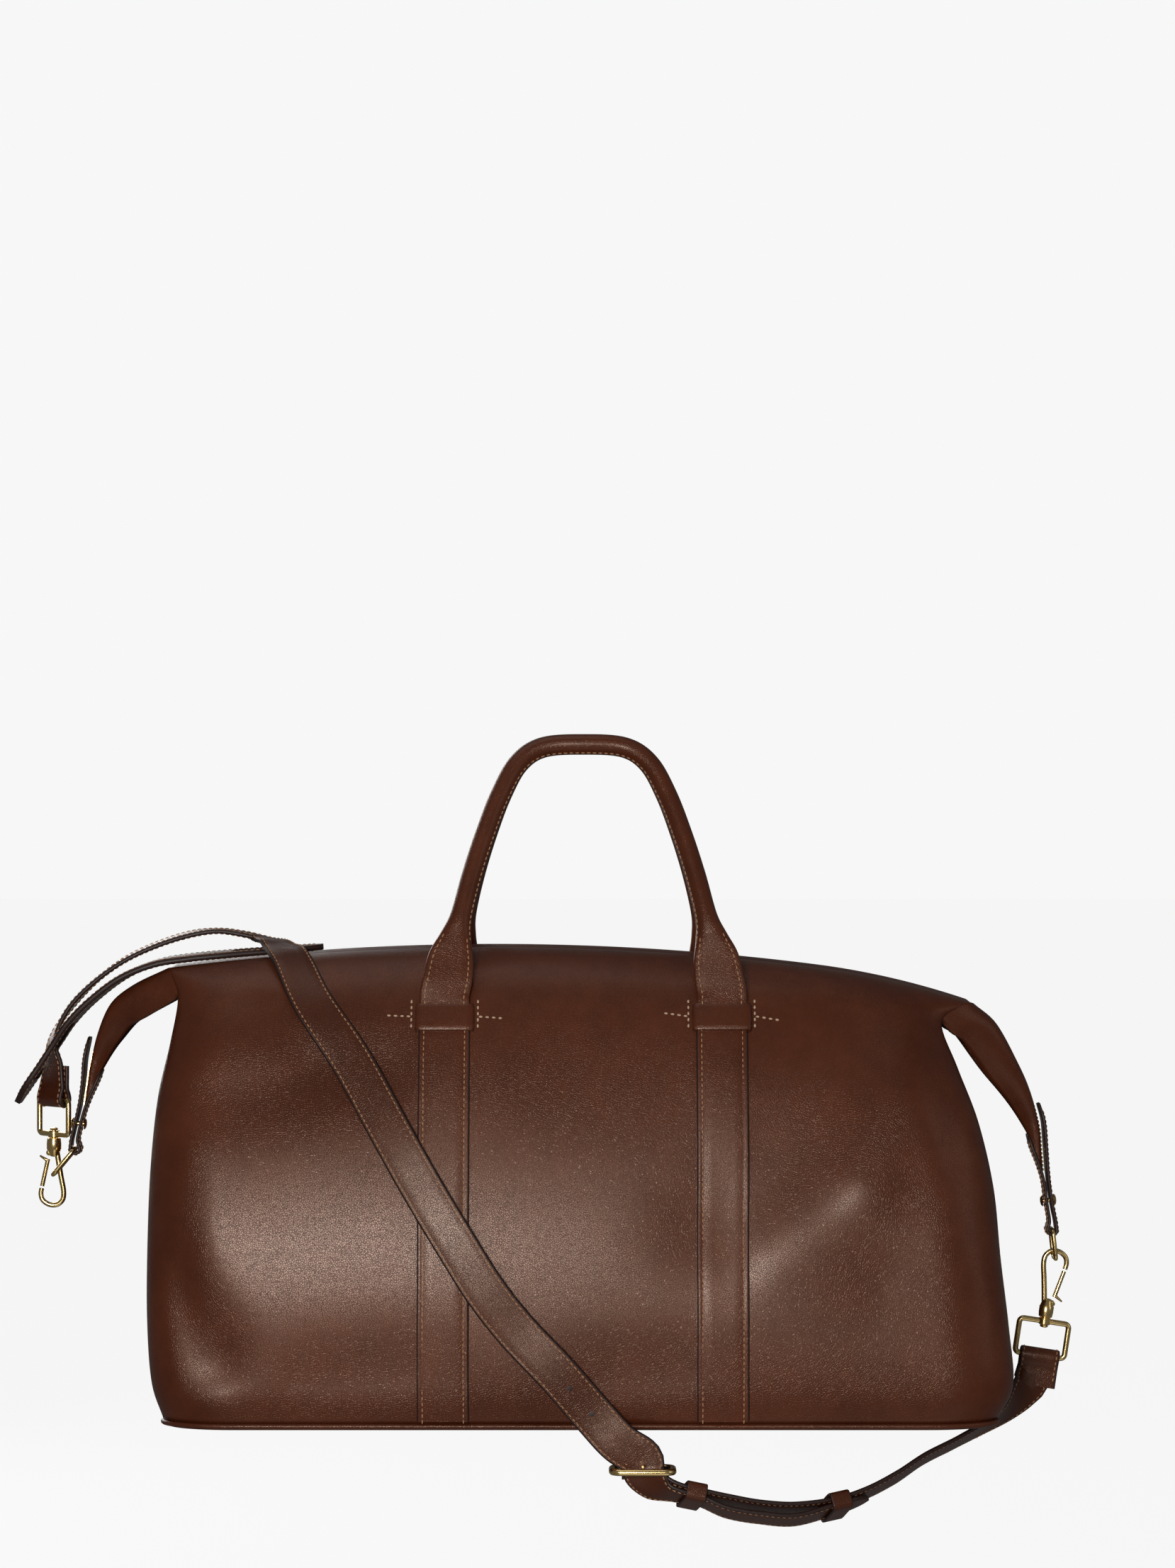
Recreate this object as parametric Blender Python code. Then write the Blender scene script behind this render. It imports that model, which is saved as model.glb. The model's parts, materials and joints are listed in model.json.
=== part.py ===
"""Leather weekender bag, held up by its two handles, with its shoulder strap clipped on.

Metres, +Z up, +X to the wearer's right when facing the front, front at -Y.
The origin is the grip: midway between the tops of the two handles.
"""
import math

import bmesh
import bpy
from mathutils import Matrix, Vector

# Driving dimensions
GAP = 0.0003                 # air between pieces that touch
SEAM_GAP = 0.0016            # air between the curved edges of two panels
LEATHER = 0.0024             # wall of the body's leather
BASE_Z = -0.4310             # underside of the bag
PANEL_FOOT_Z = -0.4268       # lower edge of the front, rear and end panels
CREST_Z = -0.1310            # top of the folds at the middle of the bag
PIPING_RADIUS = 0.0016
BAND_X = (-0.0905, 0.0850)   # centres of the sewn bands
BAND_WIDTH = 0.0325
BAND_THICK = 0.0024
KEEPER_TOP_Z = -0.1665
KEEPER_HIGH = 0.0160
STRAP_WIDTH = 0.0264
STRAP_THICK = 0.0028
WIRE = 0.0016                # radius of hook, ring and link wire


def clear_scene():
    for old in list(bpy.data.objects):
        bpy.data.objects.remove(old)


def material(name, colour, roughness, metallic=0.0):
    made = bpy.data.materials.new(name)
    made.use_nodes = True
    shader = made.node_tree.nodes["Principled BSDF"]
    shader.inputs["Base Color"].default_value = (*colour, 1.0)
    shader.inputs["Roughness"].default_value = roughness
    shader.inputs["Metallic"].default_value = metallic
    return made


def leather(name):
    return material(name + "_leather", (0.105, 0.033, 0.016), 0.42)


def dark_leather(name):
    return material(name + "_leather", (0.060, 0.020, 0.012), 0.45)


def brass(name):
    return material(name + "_brass", (0.80, 0.55, 0.26), 0.22, 1.0)


def cloth(name):
    return material(name + "_cloth", (0.070, 0.048, 0.034), 0.85)


def add_object(name, verts, faces, finish, smooth=40.0):
    mesh = bpy.data.meshes.new(name)
    mesh.from_pydata([tuple(v) for v in verts], [], faces)
    work = bmesh.new()
    work.from_mesh(mesh)
    bmesh.ops.remove_doubles(work, verts=work.verts, dist=1e-6)
    bmesh.ops.recalc_face_normals(work, faces=work.faces)
    if work.calc_volume(signed=True) < 0:
        bmesh.ops.reverse_faces(work, faces=work.faces)
    work.to_mesh(mesh)
    work.free()
    mesh.shade_smooth()
    mesh.set_sharp_from_angle(angle=math.radians(smooth))
    mesh.materials.append(finish)
    made = bpy.data.objects.new(name, mesh)
    bpy.context.scene.collection.objects.link(made)
    return made


def curve_through(points, steps):
    """Catmull-Rom curve through points of any dimension, as steps + 1 even stations."""
    rows = [Vector(p) for p in points]
    rows = [2 * rows[0] - rows[1]] + rows + [2 * rows[-1] - rows[-2]]
    fine = []
    per_span = 24
    for k in range(1, len(rows) - 2):
        p0, p1, p2, p3 = rows[k - 1:k + 3]
        for i in range(per_span):
            t = i / per_span
            fine.append(0.5 * (2 * p1 + (p2 - p0) * t + (2 * p0 - 5 * p1 + 4 * p2 - p3) * t * t
                               + (3 * p1 - p0 - 3 * p2 + p3) * t ** 3))
    fine.append(rows[-2])
    return even_stations(fine, steps)


def even_stations(fine, steps):
    """Resample a fine polyline (first three or two numbers are its place) to even steps."""
    reach = [0.0]
    size = min(3, len(fine[0]))
    for a, b in zip(fine, fine[1:]):
        reach.append(reach[-1] + math.dist(a[:size], b[:size]))
    stations = []
    k = 0
    for i in range(steps + 1):
        want = reach[-1] * i / steps
        while k < len(fine) - 2 and reach[k + 1] < want:
            k += 1
        span = reach[k + 1] - reach[k]
        stations.append(fine[k].lerp(fine[k + 1], (want - reach[k]) / span if span else 0.0))
    return stations


def pivot_at(made, place):
    """Move an object's origin to its joint's axis without moving its shape."""
    made.data.transform(Matrix.Translation(-Vector(place)))
    made.location = place
    return made


# Body shell -------------------------------------------------------------------------------------
# Stations of the front wall from its foot to the zip:
# y, z, left edge x, right edge x, share of the depth at which its side seam lies.
FRONT_WALL = [
    (-0.1140, PANEL_FOOT_Z, -0.2680, 0.2590, 0.74),
    (-0.1185, -0.4020, -0.2755, 0.2690, 0.72),
    (-0.1190, -0.3600, -0.2785, 0.2665, 0.70),
    (-0.1150, -0.3100, -0.2785, 0.2615, 0.70),
    (-0.1070, -0.2600, -0.2770, 0.2575, 0.70),
    (-0.0960, -0.2150, -0.2730, 0.2485, 0.70),
    (-0.0820, -0.1800, -0.2660, 0.2360, 0.70),
    (-0.0660, -0.1520, -0.2620, 0.2265, 0.72),
    (-0.0500, -0.1370, -0.2660, 0.2380, 0.84),
    (-0.0360, CREST_Z, -0.2690, 0.2470, 0.95),
    (-0.0240, -0.1325, -0.2700, 0.2485, 1.00),
    (-0.0115, -0.1385, -0.2700, 0.2485, 1.00),
]
TOP_PEAK_X = -0.060          # the folds arch gently from here towards both ends
TOP_ARCH = 1.650             # radius of that arch
DROOP_X, DROOP = 0.150, 0.75  # past here the right end droops faster
WALL_STEPS = 14              # rows of the front wall
STRAIGHT_STEPS = 6           # columns over its flat part
CORNER_STEPS = 3             # columns round each of its corners
CORNER_REACH = 0.045         # width of those corners, seen from the front
WING_STEPS = 6               # columns of a wing
NOTCH_Y = -0.0660            # the wings start above this station of the wall
# Ridges of the wings, from the side seam to the tip: x, z.
WING_RIGHT = [(0.2485, -0.1675), (0.2640, -0.1800), (0.2800, -0.2060), (0.2890, -0.2260),
              (0.2945, -0.2480), (0.2952, -0.2610)]
WING_LEFT = [(-0.2700, -0.1440), (-0.2935, -0.1540), (-0.3095, -0.1662), (-0.3190, -0.1860),
             (-0.3240, -0.2070), (-0.3250, -0.2190)]
WING_TIP_DEPTH = 0.0095
WING_TIP_HALF = 0.0085
END_HOLLOW = 0.0100          # how far the end panels are drawn in at mid depth


def top_scale(x):
    """Height of the folds at x as a share of their height at the peak."""
    fall = (x - TOP_PEAK_X) ** 2 / (2 * TOP_ARCH) + DROOP * max(0.0, x - DROOP_X) ** 2
    return 1.0 - fall / (CREST_Z - PANEL_FOOT_Z)


def wall_rows():
    """Rows of the front wall, from its foot to the zip."""
    return even_stations(curve_through(FRONT_WALL, WALL_STEPS * 12), WALL_STEPS)


def notch_row(rows):
    """Number of the row at which the side seam ends and the wing starts."""
    return min(range(len(rows)), key=lambda i: abs(rows[i][0] - NOTCH_Y))


def wall_point(row, x, y):
    return Vector((x, y, PANEL_FOOT_Z + (row[1] - PANEL_FOOT_Z) * top_scale(x)))


def wall_columns(row):
    """Points of one row of the front wall, from its left seam to its right seam."""
    y, _, left, right, seam = row
    turn = -y * (1 - seam)
    corner = [math.radians(90 * (1 - i / CORNER_STEPS)) for i in range(CORNER_STEPS)]
    places = [(left + CORNER_REACH * (1 - math.sin(a)), y + turn * (1 - math.cos(a))) for a in corner]
    inner_left, inner_right = left + CORNER_REACH, right - CORNER_REACH
    for i in range(STRAIGHT_STEPS + 1):
        places.append((inner_left + (inner_right - inner_left) * i / STRAIGHT_STEPS, y))
    places += [(right - CORNER_REACH * (1 - math.sin(a)), y + turn * (1 - math.cos(a)))
               for a in reversed(corner)]
    return [wall_point(row, x, py) for x, py in places]


def wing_columns(edge, ridge):
    """Carry the top of a side edge along the ridge of a wing, narrowing it to the tip."""
    spine = curve_through([(x, 0.0, z) for x, z in ridge], WING_STEPS)
    count = len(edge) - 1
    along = (spine[1] - spine[0]).normalized()
    up = Vector((-along.z, 0.0, along.x)) * (1 if along.x > 0 else -1)
    local = [((p - spine[0]).dot(up), p.y, Vector((p.x - spine[0].x, 0, p.z - spine[0].z)).dot(along))
             for p in edge]
    columns = []
    for i in range(1, WING_STEPS + 1):
        w = i / WING_STEPS
        ease = w * w * (3 - 2 * w)
        tangent = (spine[min(i + 1, WING_STEPS)] - spine[i - 1]).normalized()
        normal = Vector((-tangent.z, 0.0, tangent.x)) * (1 if along.x > 0 else -1)
        column = []
        for k, (high, y, ahead) in enumerate(local):
            q = k / count
            tip_high = -WING_TIP_DEPTH * (1 - q) ** 1.5 - 0.0015 * q
            tip_y = -WING_TIP_HALF + 0.0025 * q ** 2
            h = high + (tip_high - high) * ease
            py = y + (tip_y - y) * min(1.0, 1.4 * w)
            place = spine[i] + normal * h + tangent * ahead * (1 - w) ** 2
            column.append(Vector((place.x, py, place.z)))
        columns.append(column)
    return columns


def front_wall_grid():
    """Rows of the body part, and the columns of the two wings, of the front panel."""
    rows = wall_rows()
    body = [wall_columns(row) for row in rows]
    notch = notch_row(rows)
    right = wing_columns([row[-1] for row in body[notch:]], WING_RIGHT)
    left = wing_columns([row[0] for row in body[notch:]], WING_LEFT)
    return body, notch, left, right


def make_panel(name, side):
    """One wall of the bag with its halves of the wings; side is 1 for the front, -1 for the rear."""
    body, notch, left, right = front_wall_grid()
    verts, faces = [], []

    def add_grid(columns):
        start = len(verts)
        tall = len(columns[0])
        for column in columns:
            verts.extend(column)
        for i in range(len(columns) - 1):
            for j in range(tall - 1):
                a = start + i * tall + j
                faces.append((a, a + 1, a + tall + 1, a + tall))

    add_grid([list(column) for column in zip(*body)])
    add_grid([[row[-1] for row in body[notch:]]] + right)
    add_grid([[row[0] for row in body[notch:]]] + left)
    verts = [Vector((v.x, v.y * side, v.z)) for v in verts]
    return thicken(name, verts, faces, leather(name), LEATHER, Vector((0, 0, -0.30)))


def thicken(name, verts, faces, finish, wall, inside=None, even=True):
    """A closed wall grown from a sheet: towards a point inside the bag, or to both sides alike."""
    mesh = bpy.data.meshes.new(name)
    mesh.from_pydata([tuple(v) for v in verts], [], faces)
    work = bmesh.new()
    work.from_mesh(mesh)
    bmesh.ops.remove_doubles(work, verts=work.verts, dist=1e-6)
    bmesh.ops.recalc_face_normals(work, faces=work.faces)
    if inside:
        vote = sum(f.normal.dot(f.calc_center_median() - inside) * f.calc_area() for f in work.faces)
        if vote < 0:
            bmesh.ops.reverse_faces(work, faces=work.faces)
    work.to_mesh(mesh)
    work.free()
    mesh.materials.append(finish)
    mesh.shade_smooth()
    made = bpy.data.objects.new(name, mesh)
    bpy.context.scene.collection.objects.link(made)
    grow = made.modifiers.new("wall", "SOLIDIFY")
    grow.thickness = wall
    grow.offset = -1.0 if inside else 0.0
    grow.use_even_offset = even
    return made


def end_rows(right):
    """Rows of an end panel from its foot up to its tuck under the wing."""
    rows = wall_rows()
    notch = notch_row(rows)
    shape = []
    for k, row in enumerate(rows[:notch + 1]):
        x = row[3] if right else row[2]
        half = -row[0] * row[4] - SEAM_GAP - (0.0035 if k > notch - 2 else 0.0)
        z = wall_point(row, x, 0).z
        shape.append((x, half, z, END_HOLLOW * math.sin(math.pi * min(1, 0.15 + 0.75 * k / notch))))
    x, half, z, hollow = shape[-1]
    inward = -1 if right else 1
    for share, step, rise in ((0.74, 0.006, 0.0010), (0.50, 0.010, 0.0022), (0.26, 0.012, 0.0030)):
        shape.append((x + inward * step, half * share, z + rise, hollow * share))
    return shape


def end_columns(shape, right, steps=6):
    inward = -1 if right else 1
    grid = []
    for x, half, z, hollow in shape:
        line = []
        for i in range(steps + 1):
            a = 2 * i / steps - 1
            line.append(Vector((x + inward * hollow * (1 - a * a), a * half, z)))
        grid.append(line)
    return grid


def make_end_panel(name, right):
    grid = end_columns(end_rows(right), right)
    wide = len(grid[0])
    verts = [v for line in grid for v in line]
    faces = [(r * wide + c, r * wide + c + 1, (r + 1) * wide + c + 1, (r + 1) * wide + c)
             for r in range(len(grid) - 1) for c in range(wide - 1)]
    return thicken(name, verts, faces, leather(name), LEATHER, Vector((0, 0, -0.30)))


def foot_outline():
    """Closed outline of the bag's foot, anticlockwise from above, starting at the front left."""
    front = wall_columns(wall_rows()[0])
    right = end_columns(end_rows(True)[:1], True)[0][1:-1]
    left = end_columns(end_rows(False)[:1], False)[0][1:-1]
    rear = [Vector((p.x, -p.y, p.z)) for p in reversed(front)]
    return front + right + rear + list(reversed(left))


def inset(outline, amount):
    """The same outline drawn in by an amount."""
    count = len(outline)
    moved = []
    for i, p in enumerate(outline):
        along = outline[(i + 1) % count] - outline[i - 1]
        normal = Vector((-along.y, along.x, 0)).normalized()
        moved.append(p + normal * amount)
    return moved


def plate(name, outline, low, high, finish):
    count = len(outline)
    verts = [Vector((p.x, p.y, low)) for p in outline] + [Vector((p.x, p.y, high)) for p in outline]
    faces = [tuple(reversed(range(count))), tuple(range(count, 2 * count))]
    faces += [(i, (i + 1) % count, count + (i + 1) % count, count + i) for i in range(count)]
    return add_object(name, verts, faces, finish)


def tube(name, path, radius, sides, finish, closed=False, across=Vector((0, 1, 0))):
    """A round wire along a path, capped at both ends or closed on itself."""
    count = len(path)
    verts, faces = [], []
    for i, p in enumerate(path):
        if closed:
            along = path[(i + 1) % count] - path[i - 1]
        else:
            along = path[min(i + 1, count - 1)] - path[max(i - 1, 0)]
        side = along.cross(across).normalized()
        up = side.cross(along).normalized()
        for k in range(sides):
            a = 2 * math.pi * (k + 0.5) / sides
            verts.append(p + side * radius * math.cos(a) + up * radius * math.sin(a))
    for i in range(count if closed else count - 1):
        for k in range(sides):
            a, b = i * sides, (i + 1) % count * sides
            faces.append((a + k, a + (k + 1) % sides, b + (k + 1) % sides, b + k))
    if not closed:
        faces.append(tuple(range(sides)))
        faces.append(tuple(range((count - 1) * sides, count * sides)))
    return add_object(name, verts, faces, finish)


def make_base():
    outline = foot_outline()
    piping_z = PANEL_FOOT_Z - PIPING_RADIUS - 2 * GAP
    loop = [Vector((p.x, p.y, piping_z)) for p in outline]
    tube("base_piping", loop, PIPING_RADIUS, 8, leather("base_piping"), True, Vector((0, 0, 1)))
    sole = inset(outline, PIPING_RADIUS + 2 * GAP)
    plate("base_panel", sole, BASE_Z, BASE_Z + LEATHER, leather("base_panel"))
    board_low = BASE_Z + LEATHER + GAP
    board = inset(outline, 0.016)
    plate("base_board", board, board_low, board_low + 0.0025,
          material("base_board_card", (0.22, 0.17, 0.11), 0.9))


LINING_WALL = 0.0006
LINING_SPACE = 0.0040        # between the lining and the leather
LINING_FOOT = 0.0030         # height of the lining's floor over the panels' feet


def make_lining():
    """A thin bag inside the bag, open under the zip."""
    rows = wall_rows()
    notch = notch_row(rows)
    rings = []
    for k, row in enumerate(rows[:notch + 1]):
        front = wall_columns(row)
        lower = 0.0045 if k > notch - 3 else 0.0
        half_ring = []
        for i, p in enumerate(front):
            inward = 1 if i < len(front) // 2 else -1
            near_side = min(i, len(front) - 1 - i) < CORNER_STEPS
            clear = LINING_SPACE + (END_HOLLOW + 0.002 if near_side else 0.0)
            half_ring.append(Vector((p.x + inward * clear, p.y + LINING_SPACE,
                                     max(PANEL_FOOT_Z + LINING_FOOT, p.z - lower))))
        rings.append(half_ring + [Vector((p.x, -p.y, p.z)) for p in reversed(half_ring)])
    size = len(rings[0])
    verts = [v for ring in rings for v in ring]
    faces = []
    for r in range(len(rings) - 1):
        for i in range(size):
            faces.append((r * size + i, r * size + (i + 1) % size,
                          (r + 1) * size + (i + 1) % size, (r + 1) * size + i))
    faces += [(i, i + 1, size - 2 - i, size - 1 - i) for i in range(size // 2 - 1)]
    return thicken("lining", verts, faces, cloth("lining"), LINING_WALL, Vector((0, 0, -0.30)))


# Zip --------------------------------------------------------------------------------------------

def zip_edge():
    """The front panel's edge along the zip, from the left wing's tip to the right wing's tip."""
    body, _, left, right = front_wall_grid()
    return [column[-1] for column in reversed(left)] + body[-1] + [column[-1] for column in right]


def flat_bar(name, stations, finish):
    """A bar whose section at each station is given by four corners."""
    verts = [v for corners in stations for v in corners]
    faces = [(0, 1, 2, 3), tuple(reversed(range(len(verts) - 4, len(verts))))]
    for i in range(len(stations) - 1):
        for k in range(4):
            a, b = i * 4, (i + 1) * 4
            faces.append((a + k, a + (k + 1) % 4, b + (k + 1) % 4, b + k))
    return add_object(name, verts, faces, finish, 30.0)


def make_zip():
    edge = zip_edge()
    edge = even_stations(edge, 26)
    frames = []
    for i, p in enumerate(edge):
        along = edge[min(i + 1, len(edge) - 1)] - edge[max(i - 1, 0)]
        along.y = 0
        along.normalize()
        frames.append((p, Vector((-along.z, 0, along.x))))
    chain_half, tape_inner, tape_thick = 0.0027, 0.0031, 0.0010
    for name, side in (("zip_tape_front", 1), ("zip_tape_rear", -1)):
        stations = []
        for p, up in frames:
            outer = Vector((p.x, (p.y + 0.0013) * side, p.z))
            inner = Vector((p.x, -tape_inner * side, p.z))
            stations.append((outer, inner, inner - up * tape_thick, outer - up * tape_thick))
        flat_bar(name, stations, cloth(name))
    stations = []
    for p, up in frames:
        low, high = p - up * 0.0016, p + up * 0.0010
        stations.append((Vector((high.x, -chain_half, high.z)), Vector((high.x, chain_half, high.z)),
                         Vector((low.x, chain_half, low.z)), Vector((low.x, -chain_half, low.z))))
    flat_bar("zip_chain", stations, brass("zip_chain"))


# Bands, keepers and handles -----------------------------------------------------------------------

def wall_track(x, side, top_z):
    """Points and outward normals up the wall at x, from its foot to top_z."""
    rows = wall_rows()
    track = []
    for i, row in enumerate(rows):
        place = wall_point(row, x, row[0])
        if place.z > top_z:
            break
        before = wall_point(rows[max(i - 1, 0)], x, rows[max(i - 1, 0)][0])
        after = wall_point(rows[i + 1], x, rows[i + 1][0])
        along = (after - before).normalized()
        track.append((place, Vector((0, -along.z, along.y))))
    last, normal = track[-1]
    along = Vector((0, normal.z, -normal.y))
    track.append((last + along * ((top_z - last.z) / along.z), normal))
    return [(Vector((p.x, p.y * side, p.z)), Vector((0, n.y * side, n.z))) for p, n in track]


def make_band(name, x, side):
    low, high = 2 * GAP, 2 * GAP + BAND_THICK
    half = BAND_WIDTH / 2
    stations = []
    for p, n in wall_track(x, side, KEEPER_TOP_Z):
        stations.append(tuple(p + n * out + Vector((dx, 0, 0))
                              for dx, out in ((-half, low), (half, low), (half, high), (-half, high))))
    flat_bar(name, stations, leather(name))


def make_keeper(name, x, side):
    """A leather loop over the top of a band; its legs reach down to the wall."""
    track = wall_track(x, side, KEEPER_TOP_Z)
    top, normal = track[-1]
    down = (track[-3][0] - top).normalized()
    inner = BAND_WIDTH / 2 + 0.0006
    outer = inner + 0.0020
    under = BAND_THICK + 3 * GAP + 0.0004
    over = under + 0.0020
    corner = 0.0010
    outline = [(-outer, 0.0012), (-outer, over - corner), (-outer + corner, over),
               (outer - corner, over), (outer, over - corner), (outer, 0.0012),
               (inner, 0.0012), (inner, under), (-inner, under), (-inner, 0.0012)]
    count = len(outline)
    start, end = top + down * 0.0002, top + down * KEEPER_HIGH
    verts = [p + Vector((u, 0, 0)) + normal * v for p in (start, end) for u, v in outline]
    faces = [tuple(range(count)), tuple(range(count, 2 * count))]
    faces += [(i, (i + 1) % count, count + (i + 1) % count, count + i) for i in range(count)]
    add_object(name, verts, faces, leather(name), 30.0)


# Front handle, from its left foot over the top: x, y, z, width, thickness.
HANDLE_TOP_Y = -0.0135
LEFT_LEG = [
    (-0.0872, -0.0782, -0.1620, 0.0315, 0.0040),
    (-0.0866, -0.0745, -0.1500, 0.0313, 0.0044),
    (-0.0858, -0.0690, -0.1360, 0.0290, 0.0056),
    (-0.0838, -0.0630, -0.1230, 0.0185, 0.0095),
    (-0.0808, -0.0580, -0.1100, 0.0124, 0.0124),
    (-0.0742, -0.0470, -0.0840, 0.0124, 0.0128),
    (-0.0660, -0.0360, -0.0580, 0.0124, 0.0128),
    (-0.0565, -0.0255, -0.0330, 0.0124, 0.0128),
    (-0.0450, -0.0175, -0.0125, 0.0124, 0.0128),
    (-0.0290, HANDLE_TOP_Y, -0.0020, 0.0124, 0.0128),
]
HANDLE_MIDDLE_X = -0.0025
HANDLE_SIDES = 8


def handle_line(side):
    right = [(2 * HANDLE_MIDDLE_X - x, y, z, w, t) for x, y, z, w, t in reversed(LEFT_LEG)]
    crown = [(HANDLE_MIDDLE_X, HANDLE_TOP_Y, 0.0, 0.0124, 0.0128)]
    line = curve_through(LEFT_LEG + crown + right, 32)
    return [Vector((r[0], r[1] * side, r[2], r[3], r[4])) for r in line]


def make_handle(name, side):
    line = handle_line(side)
    outward = Vector((0, -side, 0))
    verts, faces = [], []
    for i, row in enumerate(line):
        place = Vector(row[:3])
        before, after = Vector(line[max(i - 1, 0)][:3]), Vector(line[min(i + 1, len(line) - 1)][:3])
        along = (after - before).normalized()
        across = along.cross(outward).normalized()
        out = across.cross(along).normalized()
        wide, thick = row[3] / 2, row[4] / 2
        power = 1.0 if wide < 0.0075 else 0.5
        for k in range(HANDLE_SIDES):
            a = 2 * math.pi * (k + 0.5) / HANDLE_SIDES
            u = math.copysign(abs(math.cos(a)) ** power, math.cos(a))
            v = math.copysign(abs(math.sin(a)) ** power, math.sin(a))
            verts.append(place + across * wide * u + out * thick * v)
    rings = len(line)
    for i in range(rings - 1):
        for k in range(HANDLE_SIDES):
            a, b = i * HANDLE_SIDES, (i + 1) * HANDLE_SIDES
            faces.append((a + k, a + (k + 1) % HANDLE_SIDES, b + (k + 1) % HANDLE_SIDES, b + k))
    faces.append(tuple(range(HANDLE_SIDES)))
    faces.append(tuple(range((rings - 1) * HANDLE_SIDES, rings * HANDLE_SIDES)))
    made = add_object(name, verts, faces, leather(name))
    foot = LEFT_LEG[0]
    pivot_at(made, (0, foot[1] * side, foot[2]))


# Wing tabs, rivets and links ----------------------------------------------------------------------

# Each tab is one strip folded round its link, in the plane of the wing: x, z from the outer end
# down to the fold, then back up to the inner end.
TAB_RIGHT_OUTER = [(0.2925, -0.2330), (0.2958, -0.2450), (0.2972, -0.2620), (0.2985, -0.2790),
                   (0.3008, -0.2960), (0.3034, -0.3090)]
TAB_RIGHT_FOLD = (0.3012, -0.3148)
TAB_RIGHT_INNER = [(0.2994, -0.3086), (0.2972, -0.2960), (0.2950, -0.2830), (0.2906, -0.2720),
                   (0.2836, -0.2620), (0.2790, -0.2530)]
TAB_LEFT_OUTER = [(-0.3228, -0.1900), (-0.3258, -0.2040), (-0.3270, -0.2190), (-0.3290, -0.2330),
                  (-0.3320, -0.2460), (-0.3345, -0.2565)]
TAB_LEFT_FOLD = (-0.3322, -0.2622)
TAB_LEFT_INNER = [(-0.3306, -0.2562), (-0.3285, -0.2470), (-0.3255, -0.2380), (-0.3210, -0.2295),
                  (-0.3140, -0.2200), (-0.3085, -0.2110)]
TAB_THICK = 0.0020
FOLD_RADIUS = 0.0032
TAB_WIDE, TAB_NARROW = 0.0220, 0.0150
RIVET_HOLE = 0.0046


def tab_path(outer, fold, inner):
    centre = Vector((fold[0], 0.0, fold[1]))
    first = Vector((outer[-1][0], 0.0, outer[-1][1])) - centre
    last = Vector((inner[0][0], 0.0, inner[0][1])) - centre
    a0, a1 = math.atan2(first.z, first.x), math.atan2(last.z, last.x)
    if outer[0][0] > 0:
        a1 -= 2 * math.pi if a1 > a0 else 0.0
    else:
        a1 += 2 * math.pi if a1 < a0 else 0.0
    turn = []
    for i in range(1, 8):
        a = a0 + (a1 - a0) * i / 8
        turn.append((centre.x + FOLD_RADIUS * math.cos(a), centre.z + FOLD_RADIUS * math.sin(a)))
    return list(outer) + turn + list(inner)


def make_tab(name, outer, fold, inner, rivet_station):
    """The folded strip, with a square hole through both its leaves for the rivet."""
    points = tab_path(outer, fold, inner)
    verts, faces = [], []
    columns = (-1.0, -0.5, None, None, 0.5, 1.0)
    path = curve_through([(x, 0.0, z) for x, z in points], 40)
    low_z, high_z = min(p.z for p in path), max(p.z for p in path)
    for p in path:
        share = min(1.0, max(0.0, (p.z - low_z) / (high_z - low_z) * 1.5 - 0.15))
        half = (TAB_NARROW + (TAB_WIDE - TAB_NARROW) * share) / 2
        for c, column in enumerate(columns):
            y = half * column if column is not None else RIVET_HOLE / 2 * (-1 if c == 2 else 1)
            verts.append(Vector((p.x, y, p.z)))
    wide = len(columns)
    for r in range(len(path) - 1):
        middle = (path[r] + path[r + 1]) / 2
        for c in range(wide - 1):
            if c == 2 and abs(middle.z - rivet_station[1]) < RIVET_HOLE * 0.85:
                continue
            faces.append((r * wide + c, r * wide + c + 1, (r + 1) * wide + c + 1, (r + 1) * wide + c))
    return thicken(name, verts, faces, dark_leather(name), TAB_THICK)


def turned(name, profile, start, axis, sides, finish):
    """A solid of revolution: profile rows are (distance along the axis, radius)."""
    axis = Vector(axis).normalized()
    side = axis.orthogonal().normalized()
    other = axis.cross(side)
    verts, faces = [], []
    for along, radius in profile:
        for k in range(sides):
            a = 2 * math.pi * k / sides
            verts.append(Vector(start) + axis * along
                         + (side * math.cos(a) + other * math.sin(a)) * radius)
    for i in range(len(profile) - 1):
        for k in range(sides):
            a, b = i * sides, (i + 1) * sides
            faces.append((a + k, a + (k + 1) % sides, b + (k + 1) % sides, b + k))
    faces.append(tuple(range(sides)))
    faces.append(tuple(range((len(profile) - 1) * sides, len(profile) * sides)))
    return add_object(name, verts, faces, finish, 35.0)


def make_rivet(name, centre, axis, grip):
    """A domed rivet through both leaves; grip is the distance between its heads."""
    half = grip / 2
    profile = [(-half - 0.0016, 0.0012), (-half - 0.0012, 0.0028), (-half, 0.0036), (-half, 0.0015),
               (half, 0.0015), (half, 0.0036), (half + 0.0012, 0.0028), (half + 0.0016, 0.0012)]
    turned(name, profile, centre, axis, 14, brass(name))


LINK_LONG, LINK_HALF = 0.0190, 0.0100
LINK_WIRE = 0.0014


def make_link(name, top, bottom):
    """An oblong ring: its top bar lies in the tab's fold and its bottom bar in the hook."""
    top, bottom = Vector((top[0], 0, top[1])), Vector((bottom[0], 0, bottom[1]))
    down = (bottom - top)
    length = down.length
    down.normalize()
    radius = 0.0035
    path = []
    corners = ((-1, 0, 180), (1, 0, 270), (1, 1, 0), (-1, 1, 90))
    for side, end, start in corners:
        cy = side * (LINK_HALF - radius)
        cd = radius if end == 0 else length - radius
        for i in range(4):
            a = math.radians(start + 30 * i)
            path.append(top + Vector((0, cy + radius * math.cos(a), 0)) + down * (cd + radius * math.sin(a)))
    tube(name, path, LINK_WIRE, 6, brass(name), True, Vector((down.z, 0, -down.x)))


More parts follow.
